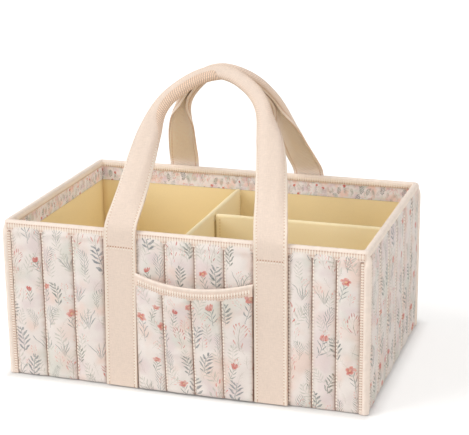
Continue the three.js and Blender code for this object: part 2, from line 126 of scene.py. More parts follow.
def activate(piece):
    clearSelection()
    piece.select_set(True)
    bpy.context.view_layer.objects.active = piece


def editAll(piece):
    activate(piece)
    bpy.ops.object.mode_set(mode="EDIT")
    bpy.ops.mesh.select_all(action="SELECT")


def applyModifier(piece, kind, **settings):
    activate(piece)
    modifier = piece.modifiers.new(kind.title(), kind)
    for key, value in settings.items():
        setattr(modifier, key, value)
    bpy.ops.object.modifier_apply(modifier=modifier.name)


def sideBySide(*parts):
    # coordinates, each an array or one number for all, put together as points
    return np.column_stack(np.broadcast_arrays(*parts))


def points(piece):
    flat = np.zeros(len(piece.data.vertices) * 3)
    piece.data.vertices.foreach_get("co", flat)
    return flat.reshape(-1, 3)


def setPoints(piece, x, y, z):
    piece.data.vertices.foreach_set("co", sideBySide(x, y, z).astype(float).ravel())
    piece.data.update()


def cutCloth(name, columns, rows):
    # a flat piece of cloth on a grid, with its flat measures kept as its UV map; gives the piece, the
    # two measures of each point, and the numbers of its column and its row
    clearSelection()
    columns, rows = np.asarray(columns, float), np.asarray(rows, float)
    bpy.ops.mesh.primitive_grid_add(
        x_subdivisions=len(columns) - 1, y_subdivisions=len(rows) - 1, size=1, calc_uvs=True
    )
    piece = bpy.context.object
    piece.name = piece.data.name = name
    p = points(piece)
    c = np.rint((p[:, 0] + 0.5) * (len(columns) - 1)).astype(int)
    r = np.rint((p[:, 1] + 0.5) * (len(rows) - 1)).astype(int)
    setPoints(piece, columns[c], rows[r], 0)
    layer = piece.data.uv_layers.active
    layer.name = "cloth"
    at = np.zeros(len(piece.data.loops), int)
    piece.data.loops.foreach_get("vertex_index", at)
    layer.data.foreach_set("uv", sideBySide(columns[c], rows[r])[at].ravel())
    s, t = points(piece)[:, :2].T
    return piece, s, t, c, r


def faceOut(piece, way=None, merge=False):
    # turns the faces outwards; on an open sheet, the face that lies furthest along way faces that way
    editAll(piece)
    if merge:
        bpy.ops.mesh.remove_doubles(threshold=0.00001)
    bpy.ops.mesh.normals_make_consistent(inside=False)
    bpy.ops.object.mode_set(mode="OBJECT")
    if way:
        way = Vector(way)
        furthest = max(piece.data.polygons, key=lambda face: face.center @ way)
        if furthest.normal @ way < 0:
            piece.data.flip_normals()


def thicken(piece, thickness, offset=-1, weights=None):
    # gives a sheet its thickness; weights is a share of it at each point
    settings = {"thickness": thickness, "offset": offset, "use_even_offset": False}
    if weights is not None:
        group = piece.vertex_groups.new(name="thickness")
        for weight in np.unique(weights):
            group.add(np.flatnonzero(weights == weight).tolist(), float(weight), "REPLACE")
        settings.update(vertex_group="thickness", thickness_vertex_group=0)
    applyModifier(piece, "SOLIDIFY", **settings)


def soften(piece):
    applyModifier(piece, "SUBSURF", levels=1, render_levels=1, boundary_smooth="PRESERVE_CORNERS")


def turnToWall(piece, wall):
    piece.data.transform(Matrix.Rotation(math.radians(walls[wall]["turn"]), 4, "Z"))
    piece.data.update()


def finishPiece(piece, body, finish, nodes=(), angle=60):
    activate(piece)
    bpy.ops.object.shade_smooth_by_angle(angle=math.radians(angle))
    piece.data.materials.clear()
    piece.data.materials.append(finish)
    if body:
        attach(piece, body)
    if nodes:
        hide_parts(*nodes)
    return piece


def mark(piece, name, values):
    # a number at each point, for the material to read
    attribute = piece.data.attributes.new(name, "FLOAT", "POINT")
    attribute.data.foreach_set("value", np.asarray(values, np.float32))


# Small helpers for measures.


def steps(start, end, size):
    count = max(1, round(abs(end - start) / size))
    return list(np.linspace(start, end, count + 1))


def joined(*runs):
    # several runs of places put together, each meeting the next at one shared place
    out = list(runs[0])
    for run in runs[1:]:
        out += list(run)[1:]
    return out


def hemmed(run, hem):
    # one more place close to each end
    return [run[0], run[0] + hem, *run[1:-1], run[-1] - hem, run[-1]]


def lengthsAlong(line):
    return np.concatenate([[0], np.cumsum(np.linalg.norm(np.diff(line, axis=0), axis=1))])


def share(value):
    return np.clip(value, 0, 1)


def ease(value):
    return share(value) * share(value) * (3 - 2 * share(value))


def quarterRound(value):
    return np.sqrt(share(value) * (2 - share(value)))


def wobble(x, y, z, size, seed):
    # smooth random heights from -1 to 1, the same on every run
    shift = Vector((seed * 7.3, seed * 3.1, seed * 5.7))
    return np.array([noise.noise(Vector(place) / size + shift) for place in sideBySide(x, y, z)])


# Small helpers for materials.


def tone(red, green, blue):
    # a colour as picked on screen, 0 to 255, made linear
    shares = (c / 255 for c in (red, green, blue))
    return (*(c / 12.92 if c <= 0.04045 else ((c + 0.055) / 1.055) ** 2.4 for c in shares), 1)


class Field:
    # a value in a node tree; arithmetic on it adds the nodes for it
    def __init__(self, wires, socket):
        self.wires, self.socket = wires, socket

    def __add__(self, other):
        return self.wires.math("ADD", self, other)

    def __sub__(self, other):
        return self.wires.math("SUBTRACT", self, other)

    def __rsub__(self, other):
        return self.wires.math("SUBTRACT", other, self)

    def __mul__(self, other):
        return self.wires.math("MULTIPLY", self, other)

    def __truediv__(self, other):
        return self.wires.math("DIVIDE", self, other)

    def __gt__(self, other):
        return self.wires.math("GREATER_THAN", self, other)

    def __lt__(self, other):
        return self.wires.math("LESS_THAN", self, other)

    def __abs__(self):
        return self.wires.math("ABSOLUTE", self)

    __radd__, __rmul__ = __add__, __mul__


class Wiring:
    # puts nodes in one tree and links them
    def __init__(self, tree):
        self.tree = tree

    def feed(self, socket, value):
        if isinstance(value, Field):
            self.tree.links.new(value.socket, socket)
        else:
            socket.default_value = value

    def node(self, kind, inputs=None, **settings):
        made = self.tree.nodes.new(kind)
        for key, value in settings.items():
            setattr(made, key, value)
        for key, value in (inputs or {}).items():
            self.feed(made.inputs[key], value)
        return made

    def one(self, kind, inputs=None, out=0, **settings):
        # adds a node and gives one of its outputs
        return Field(self, self.node(kind, inputs, **settings).outputs[out])

    def every(self, kind, inputs=None, **settings):
        # adds a node and gives its outputs by name
        return {socket.name: Field(self, socket) for socket in self.node(kind, inputs, **settings).outputs}

    def group(self, tree, place=None, **inputs):
        return self.every("ShaderNodeGroup", {**(place or {}), **inputs}, node_tree=tree)

    def math(self, operation, *values):
        return self.one("ShaderNodeMath", dict(enumerate(values)), operation=operation)

    def far(self, x, y):
        return self.math("SQRT", x * x + y * y)

    def vector(self, operation, *values):
        return self.one("ShaderNodeVectorMath", dict(enumerate(values)), operation=operation)

    def scale(self, vector, size):
        return self.one("ShaderNodeVectorMath", {0: vector, "Scale": size}, operation="SCALE")

    def split(self, vector):
        return list(self.every("ShaderNodeSeparateXYZ", {"Vector": vector}).values())

    def combine(self, x, y, z=0.0):
        return self.one("ShaderNodeCombineXYZ", {"X": x, "Y": y, "Z": z})

    def mix(self, amount, first, second, blend="MIX"):
        inputs = {0: amount, 6: first, 7: second}
        return self.one("ShaderNodeMix", inputs, 2, data_type="RGBA", blend_type=blend)

    def step(self, value, low, high):
        # 0 below low, 1 above high and smooth between
        inputs = {"Value": value, "From Min": low, "From Max": high}
        return self.one("ShaderNodeMapRange", inputs, interpolation_type="SMOOTHSTEP")

    def cloud(self, vector, scale, detail=2.0, out=0):
        return self.one("ShaderNodeTexNoise", {"Vector": vector, "Scale": scale, "Detail": detail}, out)

    def streaks(self, vector, scales, detail):
        return self.cloud(self.vector("MULTIPLY", vector, (*scales, 0)), 1.0, detail)

    def attribute(self, name):
        return self.one("ShaderNodeAttribute", out="Fac", attribute_name=name)

    def cloth(self):
        return self.one("ShaderNodeUVMap", uv_map="cloth")

    def place(self):
        return self.one("ShaderNodeTexCoord", out="Object")


def newGroup(name, inputs, outputs):
    # inputs are labels with a number, a vector or a colour; gives the wiring and the inputs by label
    tree = bpy.data.node_groups.new(name, "ShaderNodeTree")
    for label, value in inputs.items():
        kind = "Float" if isinstance(value, float) else {3: "Vector", 4: "Color"}[len(value)]
        socket = tree.interface.new_socket(label, in_out="INPUT", socket_type="NodeSocket" + kind)
        socket.default_value = value
    for label in outputs:
        kind = "NodeSocketColor" if label == "Colour" else "NodeSocketFloat"
        tree.interface.new_socket(label, in_out="OUTPUT", socket_type=kind)
    w = Wiring(tree)
    return w, w.every("NodeGroupInput")


def closeGroup(w, **outputs):
    w.node("NodeGroupOutput", outputs)
    return w.tree


def newFinish(name, roughness=0.9, sheen=0.0):
    finish = bpy.data.materials.new(name)
    finish.use_nodes = True
    surface = finish.node_tree.nodes["Principled BSDF"]
    surface.inputs["Roughness"].default_value = roughness
    surface.inputs["Sheen Weight"].default_value = sheen
    surface.inputs["Sheen Roughness"].default_value = 0.5
    surface.inputs["Specular IOR Level"].default_value = 0.25
    return finish, Wiring(finish.node_tree)


def closeFinish(finish, w, colour, height, strength, distance):
    # gives a material its colour and its relief
    surface = finish.node_tree.nodes["Principled BSDF"]
    w.feed(surface.inputs["Base Color"], colour)
    relief = {"Height": height, "Strength": strength, "Distance": distance}
    w.feed(surface.inputs["Normal"], w.one("ShaderNodeBump", relief))
    return finish


# Shared effects: weaves, worn unevenness and the motifs of the print.


def makeWeave():
    # plain weave: warp and weft threads that pass over each other in turn
    w, g = newGroup("plainWeave", {"Cloth": (0, 0, 0), "Thread": 0.0006}, ("Height", "Shade"))
    x, y, _ = w.split(w.vector("DIVIDE", g["Cloth"], w.combine(g["Thread"], g["Thread"], 1.0)))
    warp, weft = w.math("SINE", x * math.pi), w.math("SINE", y * math.pi)
    lift = w.step(warp * weft, -0.25, 0.25)
    height = abs(warp) * lift + abs(weft) * (1 - lift)
    return closeGroup(w, Height=height, Shade=(height - 0.6) * 0.12)


def makeTwill():
    # twill: raised threads in diagonal ribs
    w, g = newGroup("twillWeave", {"Cloth": (0, 0, 0), "Rib": 0.0015}, ("Height", "Shade"))
    x, y, _ = w.split(w.vector("DIVIDE", g["Cloth"], w.combine(g["Rib"], g["Rib"], 1.0)))
    rib, beat = w.math("SINE", (x * -0.5 + y) * (math.pi * 2)), w.math("SINE", (x + y) * math.pi)
    height = (rib * 0.5 + 0.5) * (abs(beat) * 0.6 + 0.4)
    return closeGroup(w, Height=height, Shade=(height - 0.35) * 0.2)


def makeUneven():
    # the slow changes of tone in cloth: dye, handling and the batting below
    inputs = {"Place": (0, 0, 0), "Colour": (1, 1, 1, 1), "Shade": 0.0, "Amount": 0.06}
    w, g = newGroup("unevenTone", inputs, ("Colour", "Cloud"))
    cloud = w.cloud(g["Place"], 22.0, 3.0) - 0.5 + (w.cloud(g["Place"], 420.0) - 0.5) * 0.8
    colour = w.scale(g["Colour"], cloud * g["Amount"] + 1.0 + g["Shade"])
    return closeGroup(w, Colour=colour, Cloud=cloud)


def makeScatter():
    # scatters motif places over the cloth; gives each point its place from the nearest one, upright
    # but for a small lean, in millimetres, and three random shares that belong to that motif
    inputs = {"Cloth": (0, 0, 0), "Wide": 22.0, "Tall": 34.0, "Lean": 0.4, "Loose": 0.4}
    w, g = newGroup("scatter", inputs, ("X", "Y", "First", "Second", "Third"))
    x, y, _ = w.split(g["Cloth"])
    v = y / g["Tall"]
    at = w.combine(x / g["Wide"] + v * 0.5, v)
    inputs = {"Vector": at, "Scale": 1.0, "Randomness": g["Loose"]}
    cells = w.every("ShaderNodeTexVoronoi", inputs, voronoi_dimensions="2D")
    u, v, _ = w.split(w.vector("SUBTRACT", at, cells["Position"]))
    first, second, third = w.every("ShaderNodeSeparateColor", {"Color": cells["Color"]}).values()
    away = w.combine((u - v * 0.5) * g["Wide"], v * g["Tall"])
    inputs = {"Vector": away, "Angle": (third - 0.5) * (g["Lean"] * 2)}
    x, y, _ = w.split(w.one("ShaderNodeVectorRotate", inputs, rotation_type="Z_AXIS"))
    return closeGroup(w, X=x, Y=y, First=first, Second=second, Third=third)


def makeSprig():
    # a stem with pairs of leaves that shorten towards its ends; with berries, a dot ends each branch
    inputs = {"X": 0.0, "Y": 0.0, "Half": 12.0, "Reach": 6.0, "Pitch": 5.0, "Slope": 0.9, "Leaf": 1.1}
    inputs.update({"Stem": 0.28, "Bend": 0.12, "Berry": 0.0})
    w, g = newGroup("sprig", inputs, ("Leaves", "Berries"))
    rise = g["Y"] / g["Half"]
    x = g["X"] - rise * rise * g["Bend"] * g["Half"]
    out = abs(x)
    along = g["Y"] - out * g["Slope"] + (x > 0.0) * g["Pitch"] * 0.35
    middle = w.math("ROUND", along / g["Pitch"]) * g["Pitch"]
    off = abs(along - middle)
    height = middle / g["Half"]
    full = 1.0 - height * height
    taper = w.math("SQRT", w.math("MAXIMUM", full, 0.0)) * (height * -0.25 + 0.9)
    reach = w.math("MAXIMUM", g["Reach"] * taper, 0.02)
    part = out / reach
    lens = part * (1.0 - part) * 4.0
    leaves = w.step(lens * g["Leaf"] - off, -0.05, 0.35) * (full > 0.05)
    stem = w.step(g["Stem"] - out, -0.15, 0.15) * (abs(rise) < 1.0)
    dots = w.step(g["Berry"] - w.far(out - reach, off), -0.1, 0.3) * (full > 0.1)
    return closeGroup(w, Leaves=w.math("MAXIMUM", leaves, stem), Berries=dots)


def makeBlossom():
    # an open flower with five round petals and a small heart
    inputs = {"X": 0.0, "Y": 0.0, "Radius": 4.5, "Turn": 0.0, "Squash": 1.0}
    w, g = newGroup("blossom", inputs, ("Petals", "Heart", "Rim"))
    y = g["Y"] * g["Squash"]
    far = w.far(g["X"], y)
    lobe = abs(w.math("COSINE", (w.math("ARCTAN2", y, g["X"]) + g["Turn"]) * 2.5))
    edge = g["Radius"] * (w.math("POWER", lobe, 0.6) * 0.42 + 0.58)
    heart = w.step(g["Radius"] * 0.24 - far, -0.2, 0.2)
    return closeGroup(w, Petals=w.step(edge - far, -0.1, 0.5), Heart=heart, Rim=far / g["Radius"])


def makeCup():
    # a cup-shaped flower seen from the side, with a wavy brim
    w, g = newGroup("cupFlower", {"X": 0.0, "Y": 0.0, "Wide": 3.6, "Tall": 4.6}, ("Petals", "Heart"))
    x, y = g["X"] / g["Wide"], g["Y"] / g["Tall"]
    brim = abs(w.math("SINE", x * 4.4)) * 0.42 + 0.22
    petals = w.step(w.math("MINIMUM", 1.0 - (x * x + y * y), (brim - y) * 1.6), 0.0, 0.18)
    fold = 0.16 - abs(abs(x) - 0.36)
    return closeGroup(w, Petals=petals, Heart=petals * w.step(fold, 0.0, 0.16))


def makeTuft():
    # a tuft of narrow blades that fan out from one foot
    inputs = {"X": 0.0, "Y": 0.0, "Half": 12.0, "Between": 0.3, "Blade": 0.8}
    w, g = newGroup("tuft", inputs, ("Blades",))
    rise = g["Y"] + g["Half"]
    far = w.far(g["X"], rise)
    angle = w.math("ARCTAN2", g["X"], rise)
    bent = angle - w.math("SIGN", angle) * (far / g["Half"] * 0.16 * abs(angle))
    turn = w.math("ROUND", bent / g["Between"])
    off = abs(bent - turn * g["Between"]) * far
    part = far / (g["Half"] * 2.0 * (w.math("SINE", turn * 2.3) * 0.2 + 0.8))
    blade = part * (1.0 - part) * 4.0 * g["Blade"] - off
    return closeGroup(w, Blades=w.step(blade, -0.1, 0.35) * (abs(turn) < 2.5))


plainWeave, twillWeave, unevenTone = makeWeave(), makeTwill(), makeUneven()
scatter, sprig, tuft = makeScatter(), makeSprig(), makeTuft()
blossom, cupFlower = makeBlossom(), makeCup()

inks = {
    "ground": tone(239, 231, 226),
    "warmWash": tone(237, 214, 203),
    "greenWash": tone(219, 220, 211),
    "mauveWash": tone(229, 215, 214),
    "leaf": tone(128, 132, 120),
    "blueLeaf": tone(138, 143, 148),
    "paleLeaf": tone(192, 190, 178),
    "coral": tone(198, 92, 84),
    "rose": tone(228, 158, 146),
    "berry": tone(186, 78, 74),
    "heart": tone(236, 200, 158),
    "stalk": tone(166, 156, 138),
}


def makePrint():
    # the whole printed design, measured on the flat cloth
    w, g = newGroup("gardenPrint", {"Cloth": (0, 0, 0), "Scale": 1.0}, ("Colour",))
    scaled = w.scale(g["Cloth"], w.math("DIVIDE", 1000.0, g["Scale"]))

    def shake(scale, reach):
        drift = w.cloud(scaled, scale, 1.0, "Color")
        return w.vector("MULTIPLY", w.vector("SUBTRACT", drift, (0.5, 0.5, 0.5)), (reach, reach, 0))

    def wash(colour, shift, scale, low, amount, ink):
        cloud = w.cloud(w.vector("ADD", scaled, shift), scale)
        return w.mix(w.step(cloud, low, low + 0.2) * amount, colour, ink)

    def spot(shift, wide, tall, lean, loose):
        where = w.vector("ADD", shaky, shift)
        found = w.group(scatter, Cloth=where, Wide=wide, Tall=tall, Lean=lean, Loose=loose)
        size = found["Second"] * -0.42 + 1.24  # each motif has its own size
        return found, {label: found[label] * size for label in ("X", "Y")}

    def paint(colour, ink, mask, when, strength):
        return w.mix(mask * water * (when * strength), colour, ink)

    shaky = w.vector("ADD", scaled, w.vector("ADD", shake(0.4, 1.1), shake(0.07, 6.5)))
    colour = wash(inks["ground"], (300, 0, 0), 0.030, 0.48, 0.8, inks["warmWash"])
    colour = wash(colour, (0, 500, 0), 0.026, 0.50, 0.7, inks["greenWash"])
    colour = wash(colour, (900, 0, 0), 0.034, 0.50, 0.8, inks["mauveWash"])
    water = w.math("MINIMUM", w.cloud(scaled, 0.22, 3.0) * 1.5 + 0.02, 1.0)  # uneven ink, as in a watercolour

    # a pale layer of foliage under the rest, then small buds
    under, place = spot((37, 21, 0), 19, 27, 0.6, 0.6)
    shape = w.group(sprig, place, Half=12.0, Reach=7.0, Pitch=4.4, Leaf=1.0, Stem=0.25, Bend=0.2)
    colour = paint(colour, inks["paleLeaf"], shape["Leaves"], under["First"] > 0.35, 0.75)
    small, place = spot((11, 7, 0), 13, 17, 0.8, 0.7)
    shape = w.group(sprig, place, Half=6.5, Reach=3.4, Pitch=3.2, Slope=1.2, Leaf=0.3, Stem=0.18, Berry=0.75)
    colour = paint(colour, inks["stalk"], shape["Leaves"], small["First"] > 0.45, 0.6)
    colour = paint(colour, inks["rose"], shape["Berries"], small["First"] > 0.7, 0.9)

    # the main layer: each place holds one motif, by its first share
    main, place = spot((0, 0, 0), 20, 30, 0.3, 0.46)
    kind, second = main["First"], main["Second"]
    sway = main["Third"] * 0.6 - 0.3
    leafInk = w.mix(second, inks["leaf"], inks["blueLeaf"])
    shape = w.group(sprig, place, Half=13.0, Reach=7.8, Pitch=5.0, Leaf=1.45, Stem=0.3, Bend=sway)
    colour = paint(colour, leafInk, shape["Leaves"], kind < 0.26, 1.0)
    shape = w.group(sprig, place, Half=13.0, Reach=6.4, Pitch=3.3, Slope=1.5, Leaf=0.62, Stem=0.22, Bend=sway)
    colour = paint(colour, leafInk, shape["Leaves"], (kind > 0.26) * (kind < 0.42), 1.0)
    budded = (kind > 0.42) * (kind < 0.60)
    shape = w.group(
        sprig, place, Half=12.0, Reach=6.5, Pitch=5.4, Slope=1.8, Leaf=0.3, Stem=0.24, Bend=sway, Berry=1.25
    )
    colour = paint(colour, inks["stalk"], shape["Leaves"], budded, 1.0)
    colour = paint(colour, w.mix(second, inks["berry"], inks["rose"]), shape["Berries"], budded, 1.0)
    shape = w.group(tuft, place, Half=12.0, Blade=0.55, Between=0.22)
    colour = paint(colour, leafInk, shape["Blades"], (kind > 0.60) * (kind < 0.68), 0.8)

    # the two flowers share a stalk with a pair of leaves
    flowering, cupped = kind > 0.68, kind > 0.86
    stalk = {"X": place["X"], "Y": place["Y"] + 4.5}
    shape = w.group(sprig, stalk, Half=10.5, Reach=5.6, Pitch=5.4, Slope=1.3, Leaf=0.95, Stem=0.26, Bend=0.0)
    colour = paint(colour, leafInk, shape["Leaves"], flowering, 0.95)
    head = {"X": place["X"], "Y": place["Y"] - 6.8}
    opened = flowering - cupped
    shape = w.group(blossom, head, Radius=5.3, Turn=main["Third"] * 6.0, Squash=1.35)
    petalInk = w.mix(w.step(shape["Rim"], 0.2, 1.0), inks["coral"], inks["rose"])
    colour = paint(colour, petalInk, shape["Petals"], opened, 1.0)
    colour = paint(colour, inks["heart"], shape["Heart"], opened, 0.9)
    shape = w.group(cupFlower, head)
    colour = paint(colour, w.mix(second, inks["coral"], inks["rose"]), shape["Petals"], cupped, 1.0)
    colour = paint(colour, inks["berry"], shape["Heart"], cupped, 0.7)
    return closeGroup(w, Colour=colour)


gardenPrint = makePrint()


def uneven(w, colour, shade=0.0, amount=0.07):
    return w.group(unevenTone, Place=w.place(), Colour=colour, Shade=shade, Amount=amount)["Colour"]


def makePrintedCotton(name, scale, shift=(0, 0, 0), deepen=0.0, quilted=True):
    finish, w = newFinish(name, 0.92, 0.12)
    cloth = w.cloth()
    colour = w.group(gardenPrint, Cloth=w.vector("ADD", cloth, shift), Scale=scale)["Colour"]
    if deepen:
        colour = w.mix(deepen, colour, colour, "MULTIPLY")
        # the facing's colour is lifted and cooled: painted light that offsets the shade under the rim binding
        # and the yellow light thrown off the lining
        colour = w.mix(1.0, colour, (1.30, 1.42, 1.62, 1), "MULTIPLY")
    weave = w.group(plainWeave, Cloth=cloth, Thread=0.00045)
    colour = uneven(w, colour, weave["Shade"], 0.06)
    creases = w.streaks(cloth, (90, 260), 3.0)
    if quilted:  # painted shade in the tucks along the seams and beside each seam, and a painted shadow line in each seam's groove
        seam = w.attribute("seam")
        tucks = w.step(w.streaks(cloth, (50, 460), 2.0), 0.46, 0.64) * w.step(seam, 0.03, 0.35)
        colour = w.mix(tucks * 0.26, colour, tone(194, 168, 152))
        colour = w.mix(w.step(seam, 0.04, 0.6) * 0.34, colour, tone(196, 172, 156))
        # the painted shadow line down each seam's groove, broken up by streaks
        shadowBreaks = w.math("MINIMUM", w.streaks(cloth, (30, 30), 2.0) * 1.1 + 0.25, 1.0)
        colour = w.mix(w.step(seam, 0.62, 0.95) * shadowBreaks, colour, tone(132, 94, 76))
        creases = creases - tucks * 1.6
    return closeFinish(finish, w, colour, weave["Height"] * 0.25 + creases, 0.45, 0.0006)


def makePlainCloth(
    name, colour, thread, rough=0.9, sheen=0.15, amount=0.07, bump=0.3, wrinkle=0.5, cornerShadeTone=None
):
    finish, w = newFinish(name, rough, sheen)
    # painted shade towards the cloth's marked edges
    if cornerShadeTone:
        colour = w.mix(w.attribute("seam"), colour, cornerShadeTone)
    cloth = w.cloth()
    weave = w.group(plainWeave, Cloth=cloth, Thread=thread)
    height = weave["Height"] * 0.2 + w.streaks(cloth, (40, 40), 3.0) * wrinkle
    return closeFinish(finish, w, uneven(w, colour, weave["Shade"], amount), height, bump, 0.0004)


def makeBinding():
    # binding cloth: pulled into small gathers, and deeper in tone where the bars of thread cross it
    finish, w = newFinish("bindingCloth", 0.88, 0.15)
    weave = w.group(plainWeave, Cloth=w.cloth(), Thread=0.0005)
    colour = w.mix(w.attribute("barred") * 0.75, tone(244, 230, 219), tone(232, 210, 195))
    # lighter where the gathers stand out and darker in their hollows, a painted shade of their relief
    colour = uneven(w, colour, weave["Shade"] + w.attribute("gathers") * 0.07)
    height = weave["Height"] * 0.2 + w.cloud(w.place(), 160.0, 3.0)
    return closeFinish(finish, w, colour, height, 0.3, 0.0004)


def makeThread(name, colour):
    finish, w = newFinish(name, 0.7, 0.1)
    x, y, _ = w.split(w.place())
    twist = w.math("SINE", (x + y) * 9000.0)
    return closeFinish(finish, w, uneven(w, colour, amount=0.12), twist, 0.15, 0.0001)


def makeBoard():
    # grey board: short fibres and a few specks
    finish, w = newFinish("greyBoard", 0.95)
    fibre = w.cloud(w.vector("MULTIPLY", w.place(), (300, 300, 1400)), 1.0, 3.0)
    specks = w.step(w.cloud(w.place(), 900.0, 0.0), 0.68, 0.78)
    colour = w.mix(fibre, tone(176, 162, 140), tone(196, 184, 163))
    colour = w.mix(specks * 0.5, colour, tone(120, 108, 92))
    return closeFinish(finish, w, colour, fibre, 0.25, 0.0003)


def makeTape(name, colour, grain):
    # hook and loop: a dense pile of tiny loops
    finish, w = newFinish(name, 0.95, 0.35)
    cells = w.one("ShaderNodeTexVoronoi", {"Vector": w.place(), "Scale": grain}, "Distance")
    return closeFinish(finish, w, uneven(w, colour, cells * -0.25, 0.1), cells, 0.6, 0.0005)


printedCotton = makePrintedCotton("printedCotton", 1.0)
facingCotton = makePrintedCotton("facingCotton", 0.40, (0, 0.0062, 0), 0.8, quilted=False)
bindingCloth = makeBinding()
smooth = (0.0006, 0.75, 0.1, 0.05, 0.2, 0.8)
# the lining's last colour is its painted shade in the corners and at the foot
liningCloth = makePlainCloth("liningCloth", tone(251, 232, 186), *smooth, tone(196, 158, 100))
dividerCloth = makePlainCloth("dividerCloth", tone(255, 240, 200), *smooth)
baseCloth = makePlainCloth("baseCloth", tone(232, 216, 200), 0.0009)
coralThread = makeThread("coralThread", tone(211, 183, 166))
creamThread = makeThread("creamThread", tone(251, 241, 230))
tackThread = makeThread("tackThread", tone(196, 154, 128))
dividerThread = makeThread("dividerThread", tone(222, 190, 130))
greyBoard = makeBoard()
loopTape = makeTape("loopTape", tone(230, 205, 148), 1300.0)
hookTape = makeTape("hookTape", tone(224, 198, 140), 900.0)
print("materials made")

thread = {"long": 0.0019, "radius": 0.00036, "sides": 6}
# how one stitch is made longer, thicker and wider for each kind of thread work
stitchSizes = {
    "seam": (1.3, 1.2, 2.0),
    "edge": (1.3, 1.2, 1.4),
    "dot": (0.6, 1.3, 1.9),
    "cornerDot": (0.6, 1.0, 1.5),
    "bar": (2.4, 1.2, 2.1),
    "innerBar": (2.2, 1.1, 2.0),
    "cornerBar": (1.6, 1.1, 1.9),
    "tack": (0.85, 1.3, 1.9),
    "plain": (1, 1, 1),
}


def makeStitch():
    # one short stitch lying along x: a hexagonal rod whose ends dive into the cloth
    clearSelection()
    long, radius = thread["long"], thread["radius"]
    bpy.ops.mesh.primitive_cylinder_add(
        vertices=thread["sides"], radius=radius, depth=long * 0.6, rotation=(0, math.pi / 2, 0)
    )
    stitch = bpy.context.object
    bpy.ops.object.transform_apply(location=True, rotation=True, scale=True)
    bpy.ops.object.mode_set(mode="EDIT")
    mesh = bmesh.from_edit_mesh(stitch.data)
    for side in (-1, 1):
        for face in mesh.faces:
            face.select_set(face.normal.x * side > 0.9)
        mesh.select_flush(True)
        lift = radius * 0.7
        bpy.ops.mesh.extrude_region_move(TRANSFORM_OT_translate={"value": (side * long * 0.2, lift, 0)})
        bpy.ops.transform.resize(value=(1, 0.45, 0.45), center_override=(side * long * 0.5, lift, 0))
        bpy.ops.mesh.select_all(action="DESELECT")
    bpy.ops.object.mode_set(mode="OBJECT")
    shape = points(stitch), [list(face.vertices) for face in stitch.data.polygons]
    bpy.data.objects.remove(stitch)
    return shape


stitchPoints, stitchFaces = makeStitch()


def sewRows(name, rows, finish, body, size):
    # rows is a list of (places, way along the stitch, way out of the cloth), each way one for all
    # places or one for each; one stitch is copied to each place
    every = []
    for row in rows:
        places, ways, outs = np.broadcast_arrays(*(np.asarray(part, float) for part in row))
        long = ways / np.linalg.norm(ways, axis=1)[:, None]
        high = outs - long * (outs * long).sum(1)[:, None]
        high /= np.linalg.norm(high, axis=1)[:, None]
        turn = np.stack([long, -high, np.cross(long, -high)], axis=1)
        every.append((stitchPoints * stitchSizes[size]) @ turn + places[:, None])
    every = np.concatenate(every).reshape(-1, 3)
    starts = range(0, len(every), len(stitchPoints))
    mesh = bpy.data.meshes.new(name)
    faces = [[start + i for i in face] for start in starts for face in stitchFaces]
    mesh.from_pydata(every.tolist(), [], faces)
    piece = bpy.data.objects.new(name, mesh)
    bpy.context.collection.objects.link(piece)
    return finishPiece(piece, body, finish, angle=40)


def straightRow(start, end, pitch, out, way=None):
    # evenly spaced stitches from start to end; way turns them across the row
    start, end = np.asarray(start, float), np.asarray(end, float)
    count = max(2, round(np.linalg.norm(end - start) / pitch))
    places = start + np.outer((np.arange(count) + 0.5) / count, end - start)
    return places, end - start if way is None else way, out


def turnRow(row, wall):
    turn = np.array(Matrix.Rotation(math.radians(walls[wall]["turn"]), 3, "Z"))
    return [np.asarray(part, float) @ turn.T for part in row]


pocket = {
    "low": -0.0457,
    "high": 0.0757,
    "foot": 0.0010,
    "hem": 0.005,
    "footShare": 0.3,
    "endHeight": 0.1245,
    "scoop": 0.0075,
    "slack": 0.0090,
    "thick": 0.0050,
    "seam": 0.0015,
    "channels": 4,
    "bindingOuter": 0.0122,
    "bindingInner": 0.0050,
    "bindingThickness": 0.0012,
    "foldRadius": 0.0012,   # of the binding's fold over the mouth, outside and inside
    "innerRadius": 0.00072,
    "gatherDepth": 0.00016,
    "stitchRows": (0.0078, 0.0104),
    "bars": 0.0068,
}
quilt = {
    "inner": 0.0045,        # from the wall's outer face to the panel's inner face
    "thick": 0.0058,        # over a full channel, from the inner face
    "sideThick": 0.0050,
    "behindPocket": 0.0044,
    "seam": 0.0018,         # at a seam
    "underStrap": 0.0033,
    "puffTop": 0.1570,      # where the channels end, under the rim binding's outer leg
    "sidePuffTop": 0.1620,
    "rimSeam": 0.0012,      # thickness pressed under the rim binding
    "top": 0.1645,
    "hem": 0.0055,          # height over which the foot rounds in
    "step": 0.0032,
    "fullness": 0.022,      # spare cloth, as a share
    "pressure": 4.0,
    "frames": 20,
    "crownPower": 0.46,
    "cap": 0.0034,
    "outerChannels": 3,
    "middleChannels": 4,
    "sideChannels": 6,
    "cornerReach": 0.0098,
    "endInset": 0.0027,     # from a long wall's end to its panel's end
    "tuckAndShadeReach": 0.0016,    # how far the tucks and the painted seam shade reach from a seam
    # the same for the short walls, wider so that the painted seam shade shows
    "sideTuckAndShadeReach": 0.0032,
    "crowding": 0.45,       # how much closer together the columns stand at a seam
    "endRound": 0.010,      # the length over which a channel rounds down at its ends
    "startShare": 0.4,      # how full a channel is before it is blown up
    "plainShare": 0.45,     # how much of the plain crown is kept beside the blown one
    "pressedTo": 0.100,     # how high the pocket presses on the wall, and where that ends
    "pressedFade": 0.018,
    "footShare": 0.35,      # the share of its thickness that a panel has at its very foot
}
printShifts = {  # where on the printed cloth each piece was cut
    "front": (0.0, 0.0),
    "right": (0.61, 0.13),
    "back": (1.27, 0.07),
    "left": (1.93, 0.31),
    "pocket": (2.71, 0.45),
}
seamStitch = {"pitch": 0.0034, "low": 0.006, "high": 0.154, "beside": 0.0013}


